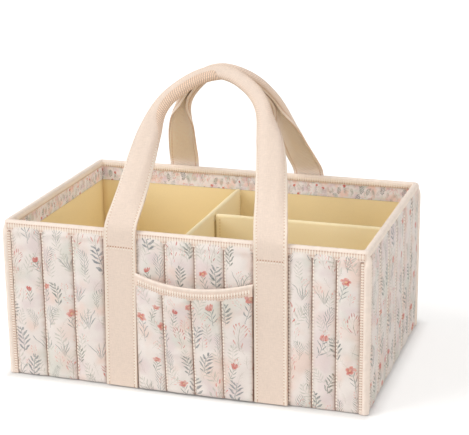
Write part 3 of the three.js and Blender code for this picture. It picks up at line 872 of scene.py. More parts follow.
def channelRun(start, end, count):
    # columns across a stretch of channels, closer at the seams, and which of them are seams
    columns, seams = [start], [True]
    for i in range(count):
        low, high = start + (end - start) * i / count, start + (end - start) * (i + 1) / count
        inner = max(6, round((high - low) / quilt["step"]))
        shares = 0.5 - 0.5 * np.cos(np.linspace(0, math.pi, inner + 1)[1:])
        even = np.linspace(0, 1, inner + 1)[1:]
        shares = quilt["crowding"] * shares + (1 - quilt["crowding"]) * even
        columns += list(low + (high - low) * shares)
        seams += [False] * (inner - 1) + [True]
    return columns, seams


def inflate(name, columns, rows, pinned, start):
    # blows the channels up between their seams as cloth, and returns how high each point rises
    flat, s, t, _, _ = cutCloth(name, columns, rows)
    setPoints(flat, s, t, start)
    group = flat.vertex_groups.new(name="seams")
    group.add(np.flatnonzero(pinned).tolist(), 1.0, "REPLACE")
    modifier = flat.modifiers.new("Cloth", "CLOTH")
    cloth = modifier.settings
    cloth.quality = 5
    cloth.mass = 0.15
    cloth.tension_stiffness = cloth.compression_stiffness = 40
    cloth.shear_stiffness = 10
    cloth.bending_stiffness = 0.05
    cloth.vertex_group_mass = "seams"
    cloth.use_pressure = True
    cloth.uniform_pressure_force = quilt["pressure"]
    cloth.shrink_min = cloth.shrink_max = -quilt["fullness"]
    cloth.effector_weights.gravity = 0
    modifier.collision_settings.use_collision = False
    modifier.point_cache.frame_start, modifier.point_cache.frame_end = 1, quilt["frames"]
    for number in range(1, quilt["frames"] + 1):
        bpy.context.scene.frame_set(number)
    moved = flat.evaluated_get(bpy.context.evaluated_depsgraph_get())
    rise = np.array([v.co.z for v in moved.data.vertices])
    bpy.data.objects.remove(flat)
    bpy.context.scene.frame_set(1)
    return rise


def quiltHeights(name, columns, seams, rows, low, high):
    # how far every grid point stands out from a seam, 0 to 1 of a full channel, between two heights
    columns, rows = np.asarray(columns), np.asarray(rows)
    sewn = columns[seams]
    left = sewn[np.searchsorted(sewn, columns, side="right") - 1]
    right = sewn[np.searchsorted(sewn, columns, side="left")]
    across = share((columns - left) / np.maximum(right - left, 1e-9))
    crown = np.where(right > left, 4 * across * (1 - across), 0)
    fade = quilt["endRound"]
    ends = quarterRound(share((rows - low) / fade) * share((high - rows) / fade))
    plain = np.outer(ends, crown)
    heights = plain ** quilt["crownPower"]
    pinned = (crown <= 0)[None, :] | (ends <= 0)[:, None]
    start = plain * quilt["cap"] * quilt["startShare"]
    rise = inflate(name, columns, rows, pinned.ravel(), start.ravel())
    print(f"{name} blown up to {rise.max() * 1000:.1f} mm")
    blown = np.clip(rise.reshape(plain.shape), 0, quilt["cap"]) / quilt["cap"]
    kept = quilt["plainShare"]
    heights = kept * heights + (1 - kept) * blown ** quilt["crownPower"]
    return heights


def seamNearness(columns, seams, reach):
    columns = np.asarray(columns)
    away = np.abs(columns[:, None] - columns[seams][None, :]).min(1)
    return np.exp(-away / reach)


def closePad(piece, near, backFace, wall, cut, node):
    # extrudes the quilted face backwards to the plain inner face, so that the pad is closed
    mark(piece, "seam", near)
    editAll(piece)
    bpy.ops.mesh.extrude_region_move(TRANSFORM_OT_translate={"value": (0, 0.001, 0)})
    mesh = bmesh.from_edit_mesh(piece.data)
    for vertex in mesh.verts:
        if vertex.select:
            vertex.co.y = backFace(vertex.co.x, vertex.co.z)
    bmesh.update_edit_mesh(piece.data)
    bpy.ops.object.mode_set(mode="OBJECT")
    faceOut(piece)
    soften(piece)
    turnToWall(piece, wall)
    uv = piece.data.uv_layers["cloth"].data
    flat = np.zeros(len(uv) * 2)
    uv.foreach_get("uv", flat)
    uv.foreach_set("uv", (flat.reshape(-1, 2) + printShifts[cut]).ravel())
    finishPiece(piece, "caddy", printedCotton, [node])


def addPanel(wall):
    half, straps = walls[wall]["half"], strapPlaces.get(wall)
    inner, edge = walls[wall]["depth"] - quilt["inner"], half - quilt["cornerReach"]
    if straps:
        centres = [straps["shift"] + side * straps["spacing"] / 2 for side in (-1, 1)]
        beds = [(centre - strapWidth / 2, centre + strapWidth / 2) for centre in centres]
        counts = (quilt["outerChannels"], quilt["middleChannels"], quilt["outerChannels"])
        outer, puffTop = half - quilt["endInset"], quilt["puffTop"]
        thick, reach = quilt["thick"], quilt["tuckAndShadeReach"]
    else:
        beds, counts = [], [quilt["sideChannels"]]
        outer, puffTop = half - quilt["inner"] - gap, quilt["sidePuffTop"]
        thick, reach = quilt["sideThick"], quilt["sideTuckAndShadeReach"]
    stops = [-edge, *(x for bed in beds for x in bed), edge]
    columns, seams, raised = [-outer], [True], [0.0]
    for i, count in enumerate(counts):
        run, sewn = channelRun(stops[2 * i], stops[2 * i + 1], count)
        bed = steps(beds[i][0] + gap, beds[i][1] - gap, 0.008) if i < len(beds) else []
        columns += run + bed
        seams += sewn + [True] * len(bed)
        raised += [0.0] * len(run) + [1.0] * len(bed)
    columns, seams, raised = np.array(columns + [outer]), np.array(seams + [True]), np.array(raised + [0.0])
    rows = np.array(joined(
        [0, 0.0012, 0.003, quilt["hem"]], steps(quilt["hem"], puffTop - 0.006, quilt["step"]),
        [puffTop - 0.006, puffTop - 0.002, puffTop, quilt["top"]],
    ))
    heights = quiltHeights(wall + "Panel", columns, seams, rows, -0.004, puffTop + 0.0005)
    pressed = quilt["seam"] + (quilt["rimSeam"] - quilt["seam"]) * ease((rows - puffTop + 0.002) / 0.002)
    rise = pressed[:, None] + (thick - quilt["seam"]) * heights
    rise = np.maximum(rise, quilt["underStrap"] * np.outer(rows < puffTop - 0.001, raised))
    if wall == "front":  # the pocket presses on the channels behind it
        behind = (columns > pocket["low"]) & (columns < pocket["high"])
        low = 1 - ease((rows - quilt["pressedTo"]) / quilt["pressedFade"])
        loss = (quilt["thick"] - quilt["behindPocket"]) * np.outer(low, behind)
        rise = np.minimum(rise, quilt["thick"] - loss)
    foot = quilt["footShare"]
    rise = rise * (foot + (1 - foot) * quarterRound(rows / quilt["hem"]))[:, None]
    piece, s, t, c, r = cutCloth(wall + "Panel", columns, rows)
    setPoints(piece, s, -(inner + rise[r, c]), t)
    near = np.where(raised > 0, 0.0, seamNearness(columns, seams, reach))[c]
    closePad(piece, near, lambda x, z: -inner, wall, wall, f"outer_panel_{wall}")
    stitches = []
    z = np.arange(seamStitch["low"], seamStitch["high"], seamStitch["pitch"])
    for x in columns[seams]:
        if x < edge - 0.001 and not any(low - 0.001 < x < high - 0.001 for low, high in beds):
            x = x + seamStitch["beside"]
            out = np.interp(z, rows, [np.interp(x, columns, across) for across in rise])
            row = sideBySide(x, -(inner + out + 0.0001), z), (0, 0, 1), (-0.4, -0.9, 0)
            stitches.append(turnRow(row, wall))
    return stitches


def addPanels():
    rows = [row for wall in walls for row in addPanel(wall)]
    sewRows("seamStitches", rows, creamThread, "caddy", "seam")
    print("quilted panels made")


# The rim binding is one folded strip round the rim, stitched along its lower edge.
rim = {
    "outerInset": 0.0020,
    "innerInset": 0.0091,
    "radius": 0.0032,
    "cornerRadius": 0.0050,
    "outerLeg": 0.0104,
    "sideLeg": 0.0052,      # the outer leg's length on the two short walls
    "innerLeg": 0.0070,
    "thickness": 0.0010,
    "bars": 0.0057,
    "stitchRows": (0.0031, 0.0084),
    "innerStitchRow": 0.0059,
    "innerBars": 0.0046,
    "pitch": 0.0027,
    "gather": 0.0024,       # size of the small gathers from the stitching, and how deep they are
    "gatherDepth": 0.00022,
    "sway": 0.03,           # size of the strip's slow sways, and how deep they are
    "swayDepth": 0.00012,
}


def rimPath(size):
    # the outline of the rim's outer face, with rounded corners: places, and the way out from each
    a, b, r = halfLength - rim["outerInset"], halfWidth - rim["outerInset"], rim["cornerRadius"]
    places, outs = [], []
    corners = [(a - r, -b + r, -90), (a - r, b - r, 0), (-a + r, b - r, 90), (-a + r, -b + r, 180)]
    for i, (x, y, first) in enumerate(corners):
        for angle in np.radians(np.linspace(first, first + 90, 7)):
            places.append((x + r * math.cos(angle), y + r * math.sin(angle)))
            outs.append((math.cos(angle), math.sin(angle)))
        start, way = np.array(places[-1]), np.array(outs[-1])
        end = np.array(corners[(i + 1) % 4][:2]) + r * way
        count = round(np.linalg.norm(end - start) / size)
        places += [start + (end - start) * k / count for k in range(1, count)]
        outs += [way] * (count - 1)
    return np.array(places), np.array(outs)


def rimFold():
    # the fold's section: distance inwards and height, from the outer leg's foot to the inner leg's
    wide, r = rim["innerInset"] - rim["outerInset"], rim["radius"]
    section = [(0, -rim["outerLeg"]), (0.0001, -rim["outerLeg"] + 0.0008)]
    section += [(0, z) for z in (-0.0082, -0.0068, -0.0054, -0.0042)]
    turn = [(r * math.cos(angle), -r + r * math.sin(angle)) for angle in np.radians(np.linspace(90, 0, 6))]
    section += [(r - x, z) for x, z in reversed(turn)] + [(wide / 2, 0.0)]
    section += [(wide - r + x, z) for x, z in turn]
    section += [(wide, z) for z in (-0.0040, -0.0054, -rim["innerLeg"] + 0.0006, -rim["innerLeg"])]
    return np.array(section)


def addRim():
    outline, outs = rimPath(0.0026)
    section = rimFold()
    lengths, across = lengthsAlong(np.vstack([outline, outline[:1]])), lengthsAlong(section)
    strip, s, t, c, r = cutCloth("rimBinding", lengths, across)
    (x, y), (outX, outY), (into, height) = outline[c % len(outline)].T, outs[c % len(outline)].T, section[r].T
    gather, sway = wobble(s, t * 0.25, 0, rim["gather"], 3), wobble(s, 0, 0, rim["sway"], 8)
    lower = 0.7 + share((-height - 0.003) / 0.006)
    push = gather * rim["gatherDepth"] * lower + sway * rim["swayDepth"]
    into = np.where(into < (rim["innerInset"] - rim["outerInset"]) / 2, into - push, into + push)
    outerSide, onLong, radius = section[r, 0] < 0.001, np.abs(outY), rim["radius"]
    leg = rim["sideLeg"] + (rim["outerLeg"] - rim["sideLeg"]) * onLong
    leg = (leg - radius) / (rim["outerLeg"] - radius)
    drop = np.where(outerSide & (-height > radius), radius + (-height - radius) * leg, -height)
    z = rimTop - drop + np.where(drop < 0.001, sway * 0.0002, 0)
    setPoints(strip, x - outX * into, y - outY * into, z)
    banded = (onLong > 0.5) * ease((drop - 0.0026) / 0.0008) * ease((0.0092 - drop) / 0.0006)
    mark(strip, "barred", np.where(outerSide, banded, 0.8 * ease((drop - 0.0052) / 0.0008)))
    mark(strip, "gathers", gather)
    faceOut(strip, (0, -1, 0), merge=True)
    thicken(strip, rim["thickness"])
    finishPiece(strip, "caddy", bindingCloth, [f"rim_binding_{wall}" for wall in walls])
    addRimStitches()


def addRimStitches():
    dots, sideDots, bars, innerBars = [], [], [], []
    shift = rim["pitch"] / 2  # the bars stand between the stitches
    for wall, place in walls.items():

        def sew(rows, reach, y, drop, out, shifts=(0, 0), way=None):
            start, end = (-reach + shifts[0], y, rimTop - drop), (reach + shifts[1], y, rimTop - drop)
            rows.append(turnRow(straightRow(start, end, rim["pitch"], (0, out, 0), way), wall))

        half, y = place["half"] - 0.0055, rim["outerInset"] - 0.00012 - place["depth"]
        if wall in strapPlaces:
            for drop in rim["stitchRows"]:
                sew(dots, half, y, drop, -1)
            sew(bars, half, y, rim["bars"], -1, (shift, -shift), (0, 0, 1))
        else:
            sew(sideDots, half, y, rim["sideLeg"] - 0.0009, -1)
        half, y = place["half"] - 0.0125, rim["innerInset"] + 0.00012 - place["depth"]
        sew(dots, half, y, rim["innerStitchRow"], 1)
        sew(innerBars, half, y, rim["innerBars"], 1, (shift, shift), (0, 0, 1))
    sewRows("rimStitches", dots, coralThread, "caddy", "dot")
    sewRows("rimSideStitches", sideDots, creamThread, "caddy", "dot")
    sewRows("rimBars", bars, creamThread, "caddy", "bar")
    sewRows("rimInnerBars", innerBars, creamThread, "caddy", "innerBar")
    print("rim binding made")


corner = {
    "reach": 0.0098,        # from the corner along each wall
    "radius": 0.0050,
    "thickness": 0.0012,
    "top": 0.1632,
    "bars": 0.0079,
    "stitchRows": (0.0072, 0.0088),
    "pitch": 0.0027,
    "low": 0.003,
    "high": 0.1545,
    "out": 0.00085,         # how deep the thread lies under the wall's outer face
    "fallDepth": 0.0010,    # how much lower the cloth lies beside the piping, and over what width
    "fallWidth": 0.0009,
    "tuckStart": 0.0046,    # how far below the rim binding it starts to tuck in, how deep and over what
    "tuckDepth": 0.0024,
    "tuckHeight": 0.005,    # height
    "gather": 0.004,
    "sway": 0.014,
    "swayDepth": 0.00022,
}


def addCorners():
    flat, turn, radius = corner["reach"] - corner["radius"], corner["radius"] * math.pi / 2, corner["radius"]
    columns = joined(
        [0, 0.0005, flat * 0.35, flat * 0.7, flat], list(flat + turn * np.linspace(0, 1, 8)),
        [flat + turn + s for s in (0, flat * 0.3, flat * 0.65, flat - 0.0005, flat)],
    )
    bars, dots = [], []
    for end, hand, sideX, sideY in (
        ("front", "Left", -1, -1), ("front", "Right", 1, -1), ("back", "Left", -1, 1), ("back", "Right", 1, 1)
    ):
        name = f"{end}{hand}Corner"
        strip, s, t, _, _ = cutCloth(name, columns, steps(0, corner["top"], 0.0028))
        mark(strip, "barred", 0.6 * ease((flat - s - 0.0008) / 0.0008))
        mark(strip, "gathers", wobble(s, t, 0, corner["gather"], 4))
        angle = np.clip((s - flat) / radius, 0, math.pi / 2)
        nx, ny = np.sin(angle), -np.cos(angle)
        x = halfLength - radius + radius * nx + np.minimum(s - flat, 0)
        y = radius - halfWidth + radius * ny + np.maximum(s - flat - turn, 0)
        # beside the piping the cloth lies lower, and it tucks in under the rim binding, which reaches
        # lower on the long walls
        beside = np.maximum(flat - s, s - flat - turn) - 0.0002
        dip = corner["fallDepth"] * ease(beside / corner["fallWidth"])
        leg = rim["sideLeg"] + (rim["outerLeg"] - rim["sideLeg"]) * np.cos(angle)
        under = t - (rimTop - leg - corner["tuckStart"])
        dip = dip + corner["tuckDepth"] * ease(under / corner["tuckHeight"])
        dip = dip + wobble(t, 0, 0, corner["sway"], 5 + sideX + 2 * sideY) * corner["swayDepth"]
        setPoints(strip, sideX * (x - nx * dip), -sideY * (y - ny * dip), t)
        faceOut(strip, (sideX, sideY, 0))
        thicken(strip, corner["thickness"])
        soften(strip)
        finishPiece(strip, "caddy", bindingCloth, [f"corner_binding_{end}_{hand.lower()}"])

        def sew(rows, inX, inY, out, lift=0.0, pitch=corner["pitch"], way=None):
            x, y = sideX * (halfLength - inX), sideY * (halfWidth - inY)
            start, end = (x, y, corner["low"] + lift), (x, y, corner["high"] + lift)
            rows.append(straightRow(start, end, pitch, out, way))

        sew(bars, corner["bars"], corner["out"], (0, sideY, 0), way=(1, 0, 0))
        for row in corner["stitchRows"]:
            sew(dots, row, corner["out"], (0, sideY, 0), corner["pitch"] / 2)
        sew(bars, corner["out"], corner["reach"] - 0.0016, (sideX, 0, 0), pitch=corner["pitch"] * 1.3)
    sewRows("cornerBars", bars, creamThread, "caddy", "cornerBar")
    sewRows("cornerStitches", dots, coralThread, "caddy", "cornerDot")
    print("corner bindings made")


# Each strap is one strip, sewn up the wall, over in an arch as the handle, and down again.
strap = {
    "thickness": 0.0024,
    "foot": 0.0010,
    "foldHeight": 0.165,
    "foldY": 0.1273,
    "reach": 0.186,
    "archReach": 0.18,      # the length of the leaning part that the lean is measured on
    "rollRadius": 0.00255,
    "rollSlit": 0.0010,
    "gripCrown": 0.0015,
    "meetingGap": 0.0004,
    "stitchInset": 0.0034,
    "stitchPitch": 0.0032,
    "tackHeight": 0.1495,
    "rippleSize": 0.016,
    "rippleDepth": 0.0004,
    "creaseDepth": 0.0018,  # where the edges begin to roll in
    "bendUnder": 0.005,     # how far below the fold it begins to lean, and over what height
    "bendOver": 0.020,
    "bendLow": (0.1273, 0.157),   # distance out and height where the strap starts to bend, and where it ends
    "bendHigh": (0.1235, 0.176),
}
# Where the middle of each strap runs above the rim, along the wall and up its leaning plane, and how
# far its edges have rolled in by then; in millimetres, the left leg, the top and the right leg.
strapPlaces["front"]["arch"] = [
    (-60.8, 0), (-60.1, 14), (-58.9, 31), (-57.9, 51), (-57.3, 70.5), (-57.0, 90), (-56.4, 106),
    (-55.1, 120.5), (-51.4, 135.2), (-44.4, 148.6), (-35.8, 159), (-25.2, 169), (-12.3, 177.6),
    (4.8, 182.8), (21.4, 179), (36, 170.4), (48.1, 160), (56.8, 148), (63, 133.7), (67.7, 119.4),
    (72.7, 104.6), (77.8, 85), (81.9, 64.5), (85.6, 44), (89.2, 24), (92, 10), (93, 0),
]
strapPlaces["front"]["roll"] = [
    (0, 0), (14, 0.03), (45, 0.16), (66, 0.19), (86, 0.26), (105, 0.34), (120, 0.44), (133, 0.68), (146, 1)
]
strapPlaces["front"].update(slant=0.0030, twill=0.8, ripples=11)  # twill is how clearly it shows
strapPlaces["back"]["arch"] = [
    (-63.5, 0), (-62.4, 10), (-60.7, 27), (-58.4, 51), (-56.7, 72.7), (-55.3, 90.6), (-53.8, 104.6),
    (-51.5, 118.5), (-48.2, 132.5), (-43.3, 145.6), (-36.9, 158.6), (-27.7, 170.4), (-15.8, 178.4), (-4, 181),
    (8.7, 177.6), (20.3, 168.8), (31, 157.6), (40.6, 145), (48.7, 132.4), (55.8, 117.5), (61.2, 101.6),
    (65.8, 83.8), (69.6, 69), (74.6, 46.4), (79.8, 22), (82.8, 8), (83.5, 0),
]
strapPlaces["back"]["roll"] = [
    (0, 0), (14, 0.03), (40, 0.16), (62, 0.25), (80, 0.33), (95, 0.43), (108, 0.62), (122, 0.9), (132, 1)
]
strapPlaces["back"].update(slant=0.0, twill=0.35, ripples=17)


def makeCanvas():
    # strap canvas: a fine weave on the flat, the twill of the reverse where the grip is rolled, and
    # the seam lines that run inside both edges
    finish, w = newFinish("strapCanvas", 0.9, 0.2)
    cloth = w.cloth()
    weave = w.group(plainWeave, Cloth=cloth, Thread=0.0008)
    twill = w.group(twillWeave, Cloth=cloth, Rib=0.0025)
    reverse = w.attribute("reverse")
    rolled = w.math("MAXIMUM", w.attribute("rolled"), reverse * 0.4)
    across, along, _ = w.split(cloth)
    fromEdge = strapWidth / 2 - abs(across)
    beat = w.math("SINE", along * (math.pi * 2 / strap["stitchPitch"]))
    seam = (1.0 - w.step(abs(fromEdge - strap["stitchInset"]), 0.0002, 0.0009)) * (beat * 0.2 + 0.62)
    brim = 1.0 - w.step(fromEdge, 0.0, 0.0010)
    colour = w.mix(w.step(fromEdge, 0.0030, 0.0036), tone(247, 233, 219), tone(240, 222, 208))
    # rolled parts are tinted tan: partly the twill's own tone, partly painted shade of the underside that
    # faces down
    colour = w.mix(rolled * 0.45, colour, tone(226, 190, 160))
    # the reverse is painted near white: partly its own lighter tone, partly painted light that lifts the back
    # straps' inner faces, which lie in shade
    colour = w.mix(reverse, colour, tone(253, 241, 231))
    colour = w.mix(seam, colour, tone(206, 164, 134))
    colour = w.mix(brim * 0.6, colour, tone(208, 168, 138))
    slubs = w.streaks(cloth, (1300, 160), 2.0) + w.streaks(cloth, (160, 1300), 2.0) - 1.0
    shade = weave["Shade"] + twill["Shade"] * (rolled * 2.4) + slubs * 0.16
    height = weave["Height"] + twill["Height"] * (rolled * 2.5) - seam * 1.5
    return closeFinish(finish, w, uneven(w, colour, shade, 0.1), height, 0.5, 0.0004)


strapCanvas = makeCanvas()


def smoothCurve(stops, perSpan):
    # a centripetal curve through the stops, resampled evenly along its length
    stops = np.asarray(stops, float)
    ends = np.vstack([2 * stops[0] - stops[1], stops, 2 * stops[-1] - stops[-2]])
    t = np.linspace(0, 1, perSpan, endpoint=False)[:, None]
    out = []
    for i in range(1, len(ends) - 2):
        a, b, c, d = ends[i - 1 : i + 3]
        ab, bc, cd = (np.linalg.norm(q - p) ** 0.5 for p, q in ((a, b), (b, c), (c, d)))
        first = ((b - a) / ab - (c - a) / (ab + bc) + (c - b) / bc) * bc
        last = ((c - b) / bc - (d - b) / (bc + cd) + (d - c) / cd) * bc
        run = (2 * t**3 - 3 * t**2 + 1) * b + (t**3 - 2 * t**2 + t) * first
        out.append(run + (3 * t**2 - 2 * t**3) * c + (t**3 - t**2) * last)
    return np.vstack([*out, stops[-1:]])


def rollShare(places, up):
    heights, shares = np.array(places["roll"]).T
    near = [np.interp(up + shift, heights / 1000, shares) for shift in (-0.007, -0.0035, 0, 0.0035, 0.007)]
    return np.mean(near, axis=0)


def strapMap(places):
    # gives place(s, t), with s across the cloth from its middle and t along the strap; the length at
    # each stop of the middle line; and that line, along the wall and above or below the fold
    arch = smoothCurve(np.array(places["arch"]) / 1000, 12)
    leg = strap["foldHeight"] - strap["foot"]
    first = [(arch[0, 0] - places["slant"] * (1 - k / 40), -leg + leg * k / 40) for k in range(40)]
    line = np.vstack([first, arch, [(arch[-1, 0], -leg * k / 40) for k in range(1, 41)]])
    length = lengthsAlong(line)
    turn = math.pi * strap["rollRadius"]
    flat = (strapWidth / 2 - turn + strap["rollSlit"] / 2) / 2
    half = strap["rollRadius"] + strap["thickness"] / 2
    lean = math.asin((strap["foldY"] - half - strap["meetingGap"] / 2) / (strap["reach"] + flat))

    # how the strap leaves the wall: upright below the fold, leaning above it, with a soft bend between
    heights = np.linspace(-0.17, 0.21, 1500)
    angles = lean * ease((heights + strap["bendUnder"]) / strap["bendOver"])
    rise, over = (np.cumsum(run(angles)) * (heights[1] - heights[0]) for run in (np.cos, np.sin))
    rise -= np.interp(0.0, heights, rise)
    reach = strap["archReach"]
    over *= reach * math.sin(lean) / np.interp(reach, heights, over)
    rise *= np.where(heights > 0, reach * math.cos(lean) / np.interp(reach, heights, rise), 1.0)

    def lineAt(t):
        return np.column_stack([np.interp(t, length, line[:, k]) for k in (0, 1)])

    def section(s, roll):
        # across and inward places of the rolled middle line, and the way it faces
        away = np.outer(np.abs(s), np.linspace(0, 1, 25))
        angle = roll[:, None] * math.pi * share((away - flat) / turn)
        size, middle = np.diff(away, axis=1), (angle[:, 1:] + angle[:, :-1]) / 2
        across = (np.cos(middle) * size).sum(1) * np.sign(s)
        inward = (np.sin(middle) * size).sum(1)
        return across, inward - roll * strap["rollRadius"], angle[:, -1] * np.sign(s)

    def place(s, t, lift=0.0):
        x, up = lineAt(t).T
        way = lineAt(t + 0.002) - lineAt(t - 0.002)
        way /= np.maximum(np.linalg.norm(way, axis=1), 1e-9)[:, None]
        roll = rollShare(places, up)
        across, inward, angle = section(s, roll)
        crown = np.cos(np.pi / 2 * share(np.abs(s) / (flat + turn / 2)))
        lift = lift + roll * strap["gripCrown"] * crown
        across, inward = across + lift * np.sin(angle), inward - lift * np.cos(angle)
        x, up = x - way[:, 1] * across, up + way[:, 0] * across
        tilt = lean * ease((up + 0.004) / strap["bendOver"])
        y = np.interp(up, heights, over) + inward * np.cos(tilt) - strap["foldY"]
        return x, y, strap["foldHeight"] + np.interp(up, heights, rise) - inward * np.sin(tilt)

    return place, length, line


def bendBetween(piece):
    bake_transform(piece)


def addStrap(wall):
    places = strapPlaces[wall]
    place, length, line = strapMap(places)
    half, seam = strapWidth / 2, strapWidth / 2 - strap["stitchInset"]
    side = [half, half - 0.0007, half - 0.0018, seam + 0.0006, seam, seam - 0.0007]
    side += [0.0110, 0.0085, 0.0060, 0.0030]
    rows = [0, 0.0005, 0.0006, *steps(0, length[-1], 0.0034)[2:-1], length[-1] - 0.0006, length[-1]]
    piece, s, t, _, _ = cutCloth(wall + "Strap", [-at for at in side] + [0] + side[::-1], rows)
    weights = np.full(len(s), 0.84)  # thin at the edge, full inside it and thin again at the seam
    for at, part in zip(side, (0.72, 1.0, 1.0, 0.92, 0.70)):
        weights[np.isclose(np.abs(s), at, atol=1e-5)] = part
    up = np.interp(t, length, line[:, 1])
    pinch = rollShare(places, up)
    shown = places["twill"] * ease((pinch - 0.3) / 0.6)
    mark(piece, "rolled", shown * share(np.abs(s) / 0.006 - 0.4))
    ripple = wobble(s, t * 0.6, 0, strap["rippleSize"], places["ripples"]) * share(up / 0.02)
    creases = np.cos(s / half * math.pi * 2.5 + t * 40) * pinch * (1 - pinch)
    setPoints(piece, *place(s, t, ripple * strap["rippleDepth"] + creases * strap["creaseDepth"]))
    thicken(piece, strap["thickness"], 0, weights)
    mark(piece, "reverse", np.arange(len(piece.data.vertices)) < len(s))
    soften(piece)
    turnToWall(piece, wall)
    faceOut(piece)
    nodes = [f"strap_{wall}_left", f"strap_{wall}_right", f"{wall}_handle"]
    finishPiece(piece, None, strapCanvas, nodes)
    bendBetween(piece)
    addGripFold(wall, place, length, line)
    addStrapStitches(wall, place, length, line)


gripFold = {
    "edge": -0.0114,        # across the strap, on the grip and on the leg
    "legEdge": -0.0158,
    "brim": -0.0004,
    "startUp": 0.093,
    "endShare": 0.502,
    "widen": 0.046,
    "narrow": 0.008,
    "closed": 0.04,         # the share of its width that is left at its ends
    "lift": 0.0005,
    "bulge": 0.0004,
    "thickness": 0.0008,
}


def addGripFold(wall, place, length, line):
    # the strap's turned-over edge, which shows its twill along the underside of the grip and runs out
    # along the leg's edge
    rising = length < length[-1] / 2
    start = float(np.interp(gripFold["startUp"], line[rising, 1], length[rising]))
    end = float(length[-1] * gripFold["endShare"])
    wide = gripFold["brim"] - gripFold["edge"]
    piece, across, t, _, _ = cutCloth(wall + "GripFold", steps(0, wide, 0.0014), steps(start, end, 0.0026))
    opened = ease((t - start) / gripFold["widen"]) * ease((end - t) / gripFold["narrow"])
    rolled = rollShare(strapPlaces[wall], np.interp(t, length, line[:, 1]))
    edge = np.interp(rolled, [0.3, 1], [gripFold["legEdge"], gripFold["edge"]])
    lift = gripFold["lift"] + gripFold["bulge"] * np.sin(math.pi * across / wide)
    s = edge + across * (gripFold["closed"] + (1 - gripFold["closed"]) * opened)
    setPoints(piece, *place(s, t, strap["thickness"] / 2 * 0.8 + lift * opened))
    faceOut(piece, (0, -1, 0))
    mark(piece, "rolled", 0.5 + 0.7 * opened)
    thicken(piece, gripFold["thickness"], 0)
    mark(piece, "reverse", np.zeros(len(piece.data.vertices)))
    soften(piece)
    turnToWall(piece, wall)
    finishPiece(piece, None, strapCanvas)
    bendBetween(piece)


def addStrapStitches(wall, place, length, line):
    half, end = strapWidth / 2, length[-1]
    count = int(end / strap["stitchPitch"])
    t = (np.arange(count) + 0.5) / count * end
    up = np.interp(t, length, line[:, 1])
    keep = (rollShare(strapPlaces[wall], up) < 0.5) & (t > 0.004) & (t < end - 0.004)
    t, above = t[keep], up[keep] > 0.006
    rows = []
    for s in (-half + strap["stitchInset"], half - strap["stitchInset"]):
        at = np.full(len(t), s)
        ways = sideBySide(*place(at, t + 0.0008)) - sideBySide(*place(at, t - 0.0008))
        for face, kept in ((1, slice(None)), (-1, above)):  # the inside is sewn only where it shows
            places = sideBySide(*place(at, t, face * strap["thickness"] / 2 * 0.72))
            outs = places - sideBySide(*place(at, t))
            rows.append(turnRow((places[kept], ways[kept], outs[kept]), wall))
    bendBetween(sewRows(wall + "StrapStitches", rows, creamThread, None, "edge"))
    s = np.linspace(-half + 0.0045, half - 0.0045, 10)
    tack = strap["tackHeight"] - strap["foot"]
    for name, below, finish in (("Tacks", 0.0, tackThread), ("PaleTacks", 0.0019, creamThread)):
        rows = []
        for t in (tack - below, end - (tack - below)):
            at = sideBySide(*place(s, np.full(len(s), t), strap["thickness"] / 2 * 0.86))
            rows.append(turnRow((at, (1, 0, 0), (0, -1, 0)), wall))
        sewRows(f"{wall}Strap{name}", rows, finish, "caddy", "tack")


def acrossPocket(x):
    middle, half = (pocket["low"] + pocket["high"]) / 2, (pocket["high"] - pocket["low"]) / 2
    return 1 - ((x - middle) / half) ** 2


def pocketMouth(x):
    return pocket["endHeight"] - pocket["scoop"] * acrossPocket(x)


def pocketFace(x, z):
    # where the pocket's cloth hangs in front of the wall
    reach = (z - pocket["foot"]) / (pocket["endHeight"] - pocket["scoop"])
    return -halfWidth - gap - pocket["slack"] * share(acrossPocket(x)) * reach


def addPocket():
    columns, seams = channelRun(pocket["low"], pocket["high"], pocket["channels"])
    tall = pocket["endHeight"] - pocket["bindingThickness"] - 0.0005
    rows = joined(
        [0, 0.0015, 0.004], steps(0.004, tall - 0.006, quilt["step"]), [tall - 0.006, tall - 0.002, tall]
    )
    heights = quiltHeights("pocketPad", columns, seams, rows, -0.004, tall - pocket["bindingOuter"] + 0.004)
    piece, s, t, c, r = cutCloth("frontPocket", columns, rows)
    mouth = pocketMouth(s) - pocket["bindingThickness"] - 0.0003
    z = pocket["foot"] + t / tall * (mouth - pocket["foot"])
    rise = pocket["seam"] + (pocket["thick"] - pocket["seam"]) * heights[r, c]
    foot = pocket["footShare"]
    rise = rise * (foot + (1 - foot) * quarterRound(t / pocket["hem"]))
    setPoints(piece, s, pocketFace(s, z) - rise, z)
    near = seamNearness(columns, seams, quilt["tuckAndShadeReach"])[c]
    closePad(piece, near, lambda x, z: float(pocketFace(x, z)), "front", "pocket", "front_pocket")
    rows = []
    for x in np.array(columns)[seams][1:-1]:
        z = np.arange(0.006, pocketMouth(x) - pocket["bindingOuter"] - 0.001, seamStitch["pitch"])
        x = x + seamStitch["beside"]
        rows.append((sideBySide(x, pocketFace(x, z) - pocket["seam"] - 0.0009, z), (0, 0, 1), (0, -1, 0)))
    sewRows("pocketSeamStitches", rows, creamThread, "caddy", "seam")
    addPocketBinding()
    print("pocket made")


